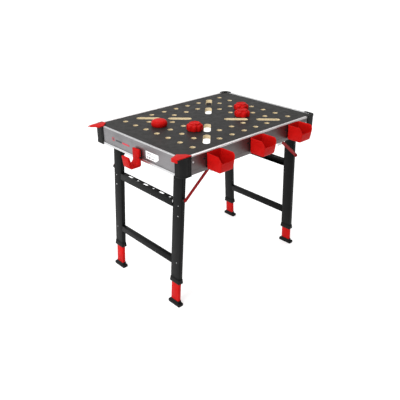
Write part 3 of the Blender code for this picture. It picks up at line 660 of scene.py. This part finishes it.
def worktop_board():
    low, high = extent("top_panel", BENCH)
    loops = [rounded_box(high.x, high.y, 0.012)]
    loops += [circle(centre, HOLE_RADIUS) for centre in dog_hole_centres()]
    for offset in SLOT_OFFSETS:
        reach = offset * HOLE_PITCH
        for sign_x in (-1, 1):
            for sign_y in (-1, 1):
                centre = (sign_x * reach, sign_y * reach)
                loops.append(slot_outline(centre, SLOT_LENGTH, SLOT_WIDTH, 45 * sign_x * sign_y))
    for pin in stop_pins():
        centre = BENCH.inverted() @ pin
        loops.append(circle((centre.x, centre.y), 0.005, 20))
    mesh = outline_mesh(loops, high.z - low.z, lift(low.z, high.z), BOARD_EDGE, 0)
    board = piece("worktop_board", mesh, (LAMINATE, CORE), "table", BENCH, ("top_panel",))
    paint_faces(board, lambda face: 0 if abs(face.normal.z) > 0.9 else 1)


# --- rails and corner brackets ---

def rail_profile(low, bead):
    """Section of a side extrusion: X outwards from its face, Y up from the worktop."""
    wall = -RAIL_WALL
    lip = -0.014
    shelf = -0.0203
    edge = 0.0014 if bead else RIM_ROUND
    points = arc((-edge, RIM_HEIGHT - edge), edge, 0, 90, 8)
    points += arc((-RIM_WIDTH + 0.0014, RIM_HEIGHT - 0.0014), 0.0014, 90, 165, 4)
    points += [(-RIM_WIDTH, GAP), (wall, GAP), (wall, shelf), (lip, shelf), (lip, shelf - 0.0025)]
    points += [(wall, shelf - 0.0025), (wall, low + 0.0025), (lip, low + 0.0025)]
    points += arc((lip + 0.001, low + 0.001), 0.001, 180, 270, 3)
    if bead:
        points += arc((0.0002, low + 0.0018), 0.0018, 270, 360, 5)
        points += [(0.0020, low + 0.0116), (0.0012, low + 0.0130), (-0.0016, low + 0.0134)]
        points += [(-0.0016, low + 0.0156), (0.0, low + 0.0162)]
    else:
        points += arc((-0.0012, low + 0.0012), 0.0012, 270, 360, 5)
    for groove in (low + 0.0225, -0.0150):
        points += [(0.0, groove - 0.0007), (-0.0006, groove - 0.0003)]
        points += [(-0.0006, groove + 0.0003), (0.0, groove + 0.0007)]
    return points


def rail(node, outward, reach, metals):
    """One extrusion; its rim and an end rail's foot bead get a pale material as a painted highlight."""
    low, high = extent(node, BENCH)
    along = 0 if outward[1] else 1
    length = high[along] - low[along]
    centre = Vector(outward) * reach
    bead = along == 1
    place = upright(outward, (0, 0, 1), centre)
    mesh = outline_mesh([rail_profile(low.z, bead)], length, place)
    obj = piece(f"{node}_extrusion", mesh, metals, "table", BENCH, (node,))
    foot = BENCH.translation.z + low.z
    top = BENCH.translation.z + RIM_HEIGHT
    # Painted highlight: faces within these height bands, the rim and an end rail's foot bead, take the pale second
    # material.
    highlight_bands = [(top - (0.0028 if bead else 1.2 * RIM_ROUND), top + 0.001)]
    if bead:
        highlight_bands.append((foot + 0.0019, foot + 0.0131))
    paint_faces(obj, lambda face: int(any(start < face.center.z < end for start, end in highlight_bands)))


def rails():
    # The long rails get the darker, reddish aluminium as painted shade and reflection; the end rails get the paler
    # one as painted light.
    for side, sign in SIDES.items():
        rail(f"{side}_rail", (0, sign, 0), HALF_Y, (SHADED_RAIL_METAL, HIGHLIGHT_RAIL_METAL))
    for end, sign in ENDS.items():
        rail(f"{end}_end_rail", (sign, 0, 0), HALF_X_FACE, (LIT_RAIL_METAL, HIGHLIGHT_AND_SCREW_METAL))


def corner_strip(outer, inner, end_reach, side_reach, sign_x, sign_y, steps=10):
    """Plan of a strip round a corner, between two distances outside the rails' faces."""
    centre = (HALF_X_FACE + BRACKET_PROUD - BRACKET_RADIUS, HALF_Y + BRACKET_PROUD - BRACKET_RADIUS)
    radius = BRACKET_RADIUS - BRACKET_PROUD
    points = [(HALF_X_FACE - side_reach, HALF_Y + outer)]
    points += arc(centre, radius + outer, 90, 0, steps)
    points += [(HALF_X_FACE + outer, HALF_Y - end_reach), (HALF_X_FACE + inner, HALF_Y - end_reach)]
    points += arc(centre, radius + inner, 0, 90, steps)
    points += [(HALF_X_FACE - side_reach, HALF_Y + inner)]
    return [(x * sign_x, y * sign_y) for x, y in points]


def bracket_reaches(node):
    """How far a bracket runs from the rails' outer faces: along the end rail, the long rail."""
    low, high = extent(node, BENCH)
    end_reach = HALF_Y - min(abs(low.y), abs(high.y))
    side_reach = HALF_X_FACE - min(abs(low.x), abs(high.x))
    return end_reach, side_reach


def bracket_ribs(reaches, bottom, top, signs):
    """Upright ribs on the wall, two at each of its ends."""
    ribs = []
    for station in (0.0035, 0.0150):
        for axis, reach in ((1, reaches[0]), (0, reaches[1])):
            faces = (HALF_X_FACE, HALF_Y)
            centre = [0.0, 0.0]
            centre[axis] = faces[axis] - reach + station
            centre[1 - axis] = faces[1 - axis] + BRACKET_PROUD - 0.00095
            half = [0.00095, 0.00095]
            half[axis] = 0.0025
            plan = rounded_box(*half, 0.0007, 2, centre)
            plan = [(x * signs[0], y * signs[1]) for x, y in plan]
            ribs.append(outline_mesh([plan], top - bottom, lift(bottom, top)))
    return ribs


def corner_bracket(side, end):
    """Moulded corner: a wall framed by raised borders, ribs, a cap and on the right a lid."""
    node = f"corner_bracket_{side}_{end}"
    signs = (ENDS[end], SIDES[side])
    low, high = extent(node, BENCH)
    reaches = bracket_reaches(node)
    inset = [reach - 0.001 for reach in reaches]

    def band(outer, inner, reaches, bottom, top, edge=0.0008):
        loop = corner_strip(outer, inner, *reaches, *signs)
        return outline_mesh([loop], top - bottom, lift(bottom, top), edge, 1)

    wall = band(BRACKET_PROUD - 0.0011, 0.0023, inset, low.z + 0.001, high.z - 0.001, 0.0003)
    cut = (RAIL_CUT - GAP, RAIL_CUT - GAP)
    parts = [
        band(BRACKET_PROUD, 0.0025, reaches, low.z, low.z + 0.009, 0.0006),
        band(BRACKET_PROUD, GAP, reaches, high.z - 0.012, high.z),
        band(0.0012, -RIM_WIDTH, cut, GAP, RIM_HEIGHT, 0.0003),
    ]
    if high.z > RIM_HEIGHT + 0.001:
        parts.append(band(BRACKET_PROUD, -RIM_WIDTH, reaches, RIM_HEIGHT + GAP, high.z, 0.0012))
    parts += bracket_ribs(reaches, low.z + 0.004, high.z - 0.006, signs)
    mesh = combined(wall, "UNION", parts)
    name = f"corner_moulding_{side}_{end}"
    piece(name, mesh, BLACK_PLASTIC, "table", BENCH, (node,))
    corner_block(side, end, low.z + 0.0110)


def corner_block(side, end, block_low):
    """The solid corner between the rails' ends, seen from below."""
    block_high = -0.0203
    rail_x = HALF_X_FACE - RAIL_CUT + GAP
    rail_y = HALF_Y - RAIL_CUT + GAP
    centre = (HALF_X_FACE + BRACKET_PROUD - BRACKET_RADIUS, HALF_Y + BRACKET_PROUD - BRACKET_RADIUS)
    block = [(rail_x, rail_y), (rail_x, HALF_Y - 0.001)]
    block += arc(centre, BRACKET_RADIUS - 0.0045, 88, 2, 8)
    block += [(HALF_X_FACE - 0.001, rail_y)]
    block = [(x * ENDS[end], y * SIDES[side]) for x, y in block]
    mesh = outline_mesh([block], block_high - block_low, lift(block_low, block_high), 0.0008, 1)
    piece(f"corner_block_{side}_{end}", mesh, BLACK_PLASTIC, "table", BENCH)


# --- legs ---

def dome(radius, height, base=0.0004):
    """A low rivet or screw head standing on Z = 0."""
    profile = [(radius, 0.0), (radius, base)]
    for degrees in range(15, 90, 15):
        angle = math.radians(degrees)
        profile.append((radius * math.cos(angle), base + (height - base) * math.sin(angle)))
    profile.append((0.0, height))
    return turned_mesh(profile, 20)


def screw_head(radius, height):
    """A pan-head screw with a cross recess."""
    head = dome(radius, height, 0.0007)
    arms = []
    for size in ((radius * 1.1, radius * 0.28), (radius * 0.28, radius * 1.1)):
        plan = rounded_box(size[0] / 2, size[1] / 2, radius * 0.1, 2)
        arms.append(outline_mesh([plan], height, lift(height * 0.45, height * 1.45)))
    return combined(head, "DIFFERENCE", arms)


def facing(direction, place):
    """Turn a piece that stands along Z to face a direction, at a place."""
    return Matrix.Translation(place) @ Vector(direction).to_track_quat("Z", "Y").to_matrix().to_4x4()


def leg_rivets(side, end):
    """Rivets of the crossbars and of the lock spring, on the face away from the bench."""
    low, high = extent(f"outer_leg_{side}_{end}", LEG[end])
    rivet_y = (low.y + high.y) / 2 + SIDES[side] * 0.010
    face = high.x if end == "right" else low.x
    upper_low, upper_high = extent(f"upper_crossbar_{end}", LEG[end])
    lower_low, lower_high = extent(f"lower_crossbar_{end}", LEG[end])
    rivets = (
        ("upper", (upper_low.z + upper_high.z) / 2 - 0.002, 0.0028),
        ("middle", upper_low.z - 0.040, 0.0035),
        ("lower", (lower_low.z + lower_high.z) / 2, 0.0028),
    )
    for name, height, radius in rivets:
        place = LEG[end] @ facing((ENDS[end], 0, 0), (face, rivet_y, height))
        mesh = dome(radius, 0.0016)
        piece(f"leg_rivet_{name}_{side}_{end}", mesh, ZINC, f"{end}_legs", place)


def collar(side, end):
    """Flared guide at the tube's end, with a rolled lip."""
    node = f"leg_collar_{side}_{end}"
    low, high = extent(node, LEG[end])
    middle = ((low.x + high.x) / 2, (low.y + high.y) / 2)
    half_x = (high.x - low.x) / 2
    half_y = (high.y - low.y) / 2
    tube_low, tube_high = extent(f"outer_leg_{side}_{end}", LEG[end])
    inner_low, inner_high = extent(f"inner_leg_{side}_{end}", LEG[end])
    tube_size = tube_high - tube_low
    inner_size = inner_high - inner_low
    sleeve = (tube_size.x / 2 + GAP, tube_size.y / 2 + GAP)
    bore = (inner_size.x / 2 + 0.0005, inner_size.y / 2 + 0.0005)
    seat = tube_low.z - GAP
    outside = [
        (0.0023, high.z, 0.004),
        (0.0019, high.z - 0.0008, 0.004),
        (0.0016, high.z - 0.0100, 0.004),
        (0.0004, low.z + 0.0110, 0.005),
        (0.0000, low.z + 0.0080, 0.005),
        (0.0000, low.z + 0.0030, 0.005),
        (0.0006, low.z + 0.0008, 0.005),
        (0.0016, low.z, 0.004),
    ]
    rings = []
    for inset, height, radius in outside:
        rings.append(box_ring(half_x - inset, half_y - inset, radius, height, middle))
    rings.append(box_ring(*bore, 0.0032, low.z, middle))
    rings.append(box_ring(*bore, 0.0032, seat, middle))
    rings.append(box_ring(*sleeve, 0.0032, seat, middle))
    rings.append(box_ring(*sleeve, 0.0032, high.z, middle))
    mesh = loft_mesh(rings, closed=True)
    piece(f"collar_{side}_{end}", mesh, BLACK_PLASTIC, BODY[node], LEG[end], (node,))


def foot(side, end):
    """Pad with a grooved edge and a boss round the inner tube."""
    node = f"foot_{side}_{end}"
    low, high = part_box(node)
    middle = ((low.x + high.x) / 2, (low.y + high.y) / 2)
    half_x = (high.x - low.x) / 2
    half_y = (high.y - low.y) / 2
    height = high.z
    lean = Vector(JOINTS[f"leg_height_{side}_{end}"]["axis"])
    rings = []
    for inset, level, radius in (
        (0.0030, 0.0, 0.004),
        (0.0008, 0.0010, 0.005),
        (0.0, 0.0030, 0.005),
        (0.0, 0.0050, 0.005),
        (0.0010, 0.0056, 0.005),
        (0.0010, 0.0066, 0.005),
        (0.0, 0.0072, 0.005),
        (0.0002, height - 0.0050, 0.005),
        (0.0012, height - 0.0020, 0.005),
        (0.0032, height - 0.0004, 0.005),
        (0.0046, height, 0.005),
    ):
        rings.append(box_ring(half_x - inset, half_y - inset, radius, level, middle))
    for half, level, radius in (
        ((0.0128, 0.0325), height + 0.0002, 0.005),
        ((0.0122, 0.0317), height + 0.0090, 0.0045),
        ((0.0116, 0.0311), height + 0.0102, 0.0040),
        ((0.0098, 0.0288), height + 0.0102, 0.0030),
    ):
        shifted = (middle[0] + lean.x / lean.z * level, middle[1])
        rings.append(box_ring(*half, radius, level, shifted))
    name = f"foot_pad_{side}_{end}"
    piece(name, loft_mesh(rings), BLACK_PLASTIC, BODY[node], stands_for=(node,))


def lock_button(side, end):
    node = f"lock_button_{side}_{end}"
    low, high = extent(node, LEG[end])
    radius = (high.y - low.y) / 2
    length = high.x - low.x
    profile = [
        (radius, 0.0),
        (radius, length * 0.55),
        (radius * 0.93, length * 0.72),
        (radius * 0.75, length * 0.9),
        (radius * 0.45, length * 0.98),
        (0.0, length),
    ]
    centre = (low.x, (low.y + high.y) / 2, (low.z + high.z) / 2)
    place = LEG[end] @ facing((1, 0, 0), centre)
    mesh = turned_mesh(profile, 24)
    piece(f"button_{side}_{end}", mesh, ZINC, BODY[node], place, (node,))


def crossbars(end):
    for level in ("upper", "lower"):
        cad_piece(f"{level}_bar_{end}", f"{level}_crossbar_{end}", 0.0006, BLACK_STEEL)


def brace(side, end):
    """Flat bar with a bolt head outside the leg and a bush inside."""
    node = f"brace_{side}_{end}"
    # The bar and its bolt take the darker red, painted shade.
    cad_piece(f"brace_bar_{side}_{end}", node, 0.0004, SHADED_BRACE_RED)
    pivot = Vector(JOINTS[f"brace_{side}_{end}_swing"]["pos_m"])
    outer = BENCH.translation.y + SIDES[side] * (BRACE_OUTSIDE + GAP)
    place = facing((0, SIDES[side], 0), (pivot.x, outer, pivot.z))
    bolt = dome(0.0075, 0.0036, 0.0012)
    piece(f"brace_bolt_{side}_{end}", bolt, SHADED_BRACE_RED, BODY[node], place)
    inner = BENCH.translation.y + SIDES[side] * (BRACE_INSIDE - GAP)
    place = facing((0, -SIDES[side], 0), (pivot.x, inner, pivot.z))
    profile = [(0.0083, 0.0), (0.0108, 0.0), (0.0108, 0.0090), (0.0100, 0.0104), (0.0083, 0.0104)]
    bush = turned_mesh(profile, 32)
    piece(f"brace_bush_{side}_{end}", bush, BLACK_PLASTIC, BODY[node], place)


def brace_guide(side, end):
    """Bent plate that hangs from a long rail's lip beside the brace, with its rivet."""
    inner = HALF_Y - 0.0465
    wall = inner + GUIDE_SHEET
    outer = HALF_Y - 0.0160
    fold = GUIDE_LIP - GUIDE_SHEET
    section = [(inner, GUIDE_HANG), (wall, GUIDE_HANG), (wall, fold)]
    section += [(outer, fold), (outer, GUIDE_LIP), (inner, GUIDE_LIP)]
    x = ENDS[end] * GUIDE_X
    place = upright((0, SIDES[side], 0), (0, 0, 1), (x, 0, 0))
    plate = softened(outline_mesh([section], GUIDE_LENGTH, place), 0.0006)
    piece(f"brace_guide_{side}_{end}", plate, ZINC, "table", BENCH)
    place = BENCH @ facing((0, SIDES[side], 0), (x, SIDES[side] * wall, GUIDE_HANG + 0.012))
    rivet = dome(0.0055, 0.0026, 0.0008)
    piece(f"guide_rivet_{side}_{end}", rivet, ZINC, "table", place)


def hidden_steel():
    """Pivot brackets, bolts and tracks keep their CAD shape."""
    for side in SIDES:
        for end in ENDS:
            name = f"{side}_{end}"
            cad_piece(f"hanger_{name}", f"pivot_bracket_{name}", 0.0005, BLACK_STEEL)
            cad_piece(f"hanger_bolt_{name}", f"pivot_bolt_{name}", 0.0004, ZINC)
        cad_piece(f"slide_track_{side}", f"brace_track_{side}", 0.0004, ZINC)


def leg_frames():
    for end in ENDS:
        for side in SIDES:
            name = f"{side}_{end}"
            cad_piece(f"leg_tube_{name}", f"outer_leg_{name}", 0.0004, BLACK_STEEL)
            leg_rivets(side, end)
            collar(side, end)
            cad_piece(f"inner_tube_{name}", f"inner_leg_{name}", 0.0004, RED_STEEL)
            foot(side, end)
            lock_button(side, end)
            brace(side, end)
            brace_guide(side, end)
        crossbars(end)


# --- dogs ---

def dog_place(node):
    """Where a dog stands on the worktop, and its height."""
    low, high = extent(node, BENCH)
    return BENCH @ Matrix.Translation(((low.x + high.x) / 2, (low.y + high.y) / 2, 0)), high.z


def shank_profile():
    """A dog's pin up to the worktop."""
    return [
        (0.0, -SHANK_DEPTH),
        (SHANK_RADIUS - 0.0020, -SHANK_DEPTH),
        (SHANK_RADIUS - 0.0006, -SHANK_DEPTH + 0.0006),
        (SHANK_RADIUS, -SHANK_DEPTH + 0.0020),
        (SHANK_RADIUS, GAP),
    ]


def round_dog():
    node = "bench_dog_round"
    place, height = dog_place(node)
    radius = DOG_RADIUS
    profile = shank_profile() + [
        (radius - 0.0060, GAP),
        (radius - 0.0035, 0.0012),
        (radius - 0.0030, 0.0034),
        (radius - 0.0008, 0.0062),
        (radius, 0.0105),
        (radius, height - 0.0200),
        (radius - 0.0008, height - 0.0160),
        (radius - 0.0030, height - 0.0115),
        (radius - 0.0065, height - 0.0075),
        (radius - 0.0110, height - 0.0045),
        (radius - 0.0160, height - 0.0024),
        (radius - 0.0220, height - 0.0010),
        (radius - 0.0300, height - 0.0002),
        (0.0, height),
    ]
    mesh = turned_mesh(profile, 96, angle=30)
    piece("dog_disc", mesh, RED_PLASTIC, BODY[node], place, (node,))


def lobed_dog(node, name, lobes, twist):
    """Star knob: scalloped body, fluted shoulder and a dished hub."""
    place, height = dog_place(node)
    radius = DOG_RADIUS
    profile = [(reach, level, 0.0, 0.0) for reach, level in shank_profile()]
    profile += [
        (radius - 0.0050, GAP, 0.0050, 0.0),
        (radius - 0.0015, 0.0016, 0.0060, 0.0),
        (radius, 0.0050, 0.0070, 0.0),
        (radius, height * 0.52, 0.0070, twist * 0.4),
        (radius - 0.0012, height * 0.66, 0.0070, twist * 0.6),
        (radius - 0.0050, height * 0.76, 0.0064, twist * 0.8),
        (radius - 0.0090, height * 0.81, 0.0050, twist),
        (radius - 0.0125, height * 0.83, 0.0030, twist),
        (radius - 0.0135, height * 0.86, 0.0024, twist),
        (radius - 0.0138, height - 0.0030, 0.0020, twist),
        (radius - 0.0150, height - 0.0008, 0.0018, twist),
        (radius - 0.0170, height, 0.0014, twist),
        (radius - 0.0200, height - 0.0002, 0.0008, twist),
        (radius - 0.0215, height - 0.0022, 0.0, twist),
        (0.010, height - 0.0028, 0.0, twist),
        (0.009, height - 0.0012, 0.0, twist),
        (0.0002, height - 0.0008, 0.0, twist),
    ]
    mesh = lobed_mesh(profile, lobes, 144 if lobes == 6 else 160)
    piece(name, mesh, RED_PLASTIC, BODY[node], place, (node,))


def bench_dogs():
    round_dog()
    lobed_dog("bench_dog_star", "dog_star", 8, 0.0)
    lobed_dog("bench_dog_rear", "dog_tall_rear", 6, 16.0)
    lobed_dog("bench_dog_front", "dog_tall_front", 6, 16.0)


# --- bins ---

def bin_top(x, y, size):
    """Height of the bin's edge: level round the back and the sides, scooped at the front."""
    past_corner = (size.x / 2 - abs(x)) - (size.y - y)
    share = min(1.0, max(0.0, (past_corner + BIN_SLOPE_BACK) / (BIN_SLOPE_BACK + BIN_SLOPE_FRONT)))
    return size.z - BIN_SCOOP * share * share * (3 - 2 * share)


def bin_outline(half_x, half_y, radius, centre_y):
    """Plan of a bin with points along its straight sides too."""
    corners = rounded_box(half_x, half_y, radius, BIN_CORNER_STEPS, (0, centre_y))
    points = []
    for index, (x, y) in enumerate(corners):
        points.append((x, y))
        if index % (BIN_CORNER_STEPS + 1) < BIN_CORNER_STEPS:
            continue
        next_x, next_y = corners[(index + 1) % len(corners)]
        for step in range(1, BIN_SIDE_STEPS):
            share = step / BIN_SIDE_STEPS
            points.append((x + (next_x - x) * share, y + (next_y - y) * share))
    return points


def bin_ring(size, inset, share, floor=0.0):
    """One ring round the bin, a share of the way from its floor to its edge."""
    narrowed = BIN_TAPER * (1 - share) ** 2
    half_x = size.x / 2 - inset - narrowed
    far = size.y - inset - narrowed * 2.2
    half_y = (far - inset) / 2
    ring = []
    for x, y in bin_outline(half_x, half_y, 0.0100 - inset, inset + half_y):
        ring.append((x, y, floor + (bin_top(x, y, size) - floor) * share))
    return ring


def bin_shell(size):
    """Tapered shell with a rolled rim, drawn with Y away from the rail and Z up."""
    outside = [(0.0013, share) for share in (0.12, 0.3, 0.5, 0.7, 0.80, 0.865)]
    rim = [(0.0003, 0.885), (0.0, 0.90), (0.0, 0.975), (0.0006, 1.0), (0.0022, 1.0), (0.0030, 0.985)]
    inside = [(0.0013 + BIN_WALL, share) for share in (0.9, 0.7, 0.5, 0.3, 0.12)]
    rings = [
        bin_ring(size, 0.0060, 0.0),
        bin_ring(size, 0.0030, 0.0, 0.0006),
        bin_ring(size, 0.0013, 0.02, 0.002),
    ]
    rings += [bin_ring(size, inset, share) for inset, share in outside + rim + inside]
    rings.append(bin_ring(size, 0.0050, 0.0, 0.0032))
    rings.append(bin_ring(size, 0.0080, 0.0, BIN_WALL))
    return loft_mesh(rings, angle=42)


def storage_bin(name):
    node = f"bin_{name}"
    low, high = extent(node, BENCH)
    size = high - low
    mesh = bin_shell(size)
    turn = Matrix.Diagonal((-1, -1, 1, 1))
    place = BENCH @ Matrix.Translation(((low.x + high.x) / 2, high.y, low.z)) @ turn
    piece(f"bin_shell_{name}", mesh, RED_PLASTIC, BODY[node], place, (node,))
    peg_x = low.x - 0.010
    profile = [(0.0045, 0.0), (0.0045, 0.002), (0.0036, 0.0034), (0.0018, 0.0040), (0.0, 0.0042)]
    peg = turned_mesh(profile, 24)
    place = BENCH @ facing((0, -1, 0), (peg_x, -HALF_Y, -0.032))
    piece(f"bin_peg_{name}", peg, BLACK_PLASTIC, "table", place)


# --- hook, stops and small trim ---

def hook_outline(near, reach, top, bottom):
    """Side view of the hook: X away from the bench, Y up from the worktop."""
    throat = HOOK_GAP / 2
    middle = near + HOOK_BACK + throat
    heel = middle + throat + HOOK_ARM
    tip = HOOK_ARM / 2
    points = arc((near + 0.003, top - 0.003), 0.003, 90, 180, 4)
    points += arc((near + 0.012, bottom + 0.012), 0.012, 180, 270, 8)
    points += arc((heel - 0.016, bottom + 0.016), 0.016, 270, 352, 10)
    points += arc((reach - tip, -HOOK_TIP - tip), tip, -8, 172, 10)
    points += arc((middle, bottom + HOOK_BACK + throat), throat, -8, -180, 26)
    points += arc((near + HOOK_BACK - 0.003, top - 0.003), 0.003, 0, 90, 4)
    return points


def strap_hook():
    """J-shaped hook with rounded edges and a small knob on its back arm."""
    node = "strap_hook"
    low, high = extent(node, BENCH)
    near = -high.x
    outline = hook_outline(near, -low.x, high.z, low.z)
    width = high.y - low.y
    place = upright((-1, 0, 0), (0, 0, 1), (0, (low.y + high.y) / 2, 0))
    mesh = outline_mesh([outline], width, place, 0.0018, 3)
    piece("hook", mesh, RED_PLASTIC, BODY[node], BENCH, (node,))
    profile = [(0.0032, 0.0), (0.0032, 0.0014), (0.0050, 0.0018), (0.0052, 0.0026)]
    profile += [(0.0052, 0.0038), (0.0044, 0.0046), (0.0, 0.0050)]
    knob = turned_mesh(profile, 28)
    place = BENCH @ facing((0, -1, 0), (-near - HOOK_BACK / 2, low.y, -0.076))
    piece("hook_knob", knob, BLACK_PLASTIC, BODY[node], place)


def corner_stop(side, outline, skirt, skirt_depth):
    """Swivel stop: a plate with soft edges, its skirt and its pin's head."""
    node = f"corner_stop_{side}"
    sign = SIDES[side]
    high = extent(node, BENCH)[1]
    plate_low = high.z - 0.004
    plan = rounded([(-x, sign * y) for x, y in outline], 0.003, 4)
    plate = outline_mesh([plan], 0.004, lift(plate_low, high.z), 0.0012, 2)
    skirt_plan = rounded([(-x, sign * y) for x, y in skirt], 0.002, 3)
    skirt_high = high.z - 0.0010
    skirt_low = -skirt_depth
    flange = outline_mesh([skirt_plan], skirt_high - skirt_low, lift(skirt_low, skirt_high), 0.0006, 1)
    pivot = BENCH.inverted() @ Vector(JOINTS[f"{side}_stop_swivel"]["pos_m"])
    pin_low = -0.016
    pin_high = plate_low + 0.0005
    pin_plan = circle((pivot.x, pivot.y), 0.0045, 24)
    pin = outline_mesh([pin_plan], pin_high - pin_low, lift(pin_low, pin_high))
    mesh = combined(plate, "UNION", [flange, pin])
    piece(f"stop_plate_{side}", mesh, RED_PLASTIC, BODY[node], BENCH, (node,))


def corner_stops():
    front = [(0.534, 0.318), (0.531, STOP_EDGE), (0.441, STOP_EDGE), (0.453, 0.327), (0.485, 0.299)]
    skirt_edge = STOP_EDGE - 0.0005
    front_skirt = [(0.5335, 0.3185), (0.5305, skirt_edge), (0.5265, skirt_edge), (0.5295, 0.3180)]
    corner_stop("front", front, front_skirt, 0.011)
    rear = [(0.563, 0.327), (0.533, 0.336), (0.500, 0.3395), (0.461, 0.3400)]
    rear += [(0.457, 0.313), (0.497, 0.276), (0.523, 0.276), (0.5345, 0.300)]
    rear_skirt = [(0.5600, 0.3255), (0.5340, 0.3000), (0.5225, 0.2765)]
    rear_skirt += [(0.5165, 0.2765), (0.5280, 0.3020)]
    corner_stop("rear", rear, rear_skirt, 0.0005)


def rail_screws():
    """A screw through each long rail beside the bracket."""
    for end, sign_x in ENDS.items():
        for side, sign_y in SIDES.items():
            reach = bracket_reaches(f"corner_bracket_{side}_{end}")[1]
            spot = (sign_x * (HALF_X_FACE - reach - 0.013), sign_y * HALF_Y, -0.031)
            place = BENCH @ facing((0, sign_y, 0), spot)
            name = f"rail_screw_{side}_{end}"
            piece(name, screw_head(0.0052, 0.0026), HIGHLIGHT_AND_SCREW_METAL, "table", place)


def film(name, loops, material, spot, layer=0):
    """A printed film on the left end rail; outlines are in Y and Z of the bench."""
    centre = (-HALF_X_FACE - 0.0003 - 0.0005 * layer, *spot)
    thickness = 0.0003 if layer else 0.0005
    mesh = outline_mesh(loops, thickness, upright((0, -1, 0), (0, 0, 1), centre))
    piece(name, mesh, material, "table", BENCH)


def end_rail_films():
    """Plain shapes in place of the printed name and label: they hold no lettering."""
    film("emblem_ring", [circle((0, 0), 0.0110, 32), circle((0, 0), 0.0075, 32)], LABEL_RED, EMBLEM)
    film("emblem_dot", [circle((0, 0), 0.0035, 24)], LABEL_DARK, EMBLEM)
    film("emblem_bar_dark", [rounded_box(0.026, 0.0045, 0.002, 4)], LABEL_DARK, (0.138, -0.045))
    film("emblem_bar_red", [rounded_box(0.030, 0.0045, 0.002, 4)], LABEL_RED, (0.076, -0.045))
    plate = [(-0.049, 0.0195), (0.049, 0.0195), (0.049, -0.004), (0.028, -0.0195), (-0.049, -0.0195)]
    film("label_plate", [rounded(plate, 0.002, 3)], LABEL_WHITE, LABEL)
    for index, (start, end, height, thickness) in enumerate(LABEL_MARKS):
        mark = rounded_box((end - start) / 2, thickness / 2, 0.0008, 3, ((start + end) / 2, height))
        film(f"label_bar_{index}", [mark], LABEL_GREY, LABEL, 1)


# --- assembly ---

build_stage()
build_camera()
worktop_board()
rails()
for bracket_side in SIDES:
    for bracket_end in ENDS:
        corner_bracket(bracket_side, bracket_end)
leg_frames()
hidden_steel()
bench_dogs()
for bin_name in ("left", "middle", "right"):
    storage_bin(bin_name)
strap_hook()
corner_stops()
rail_screws()
end_rail_films()
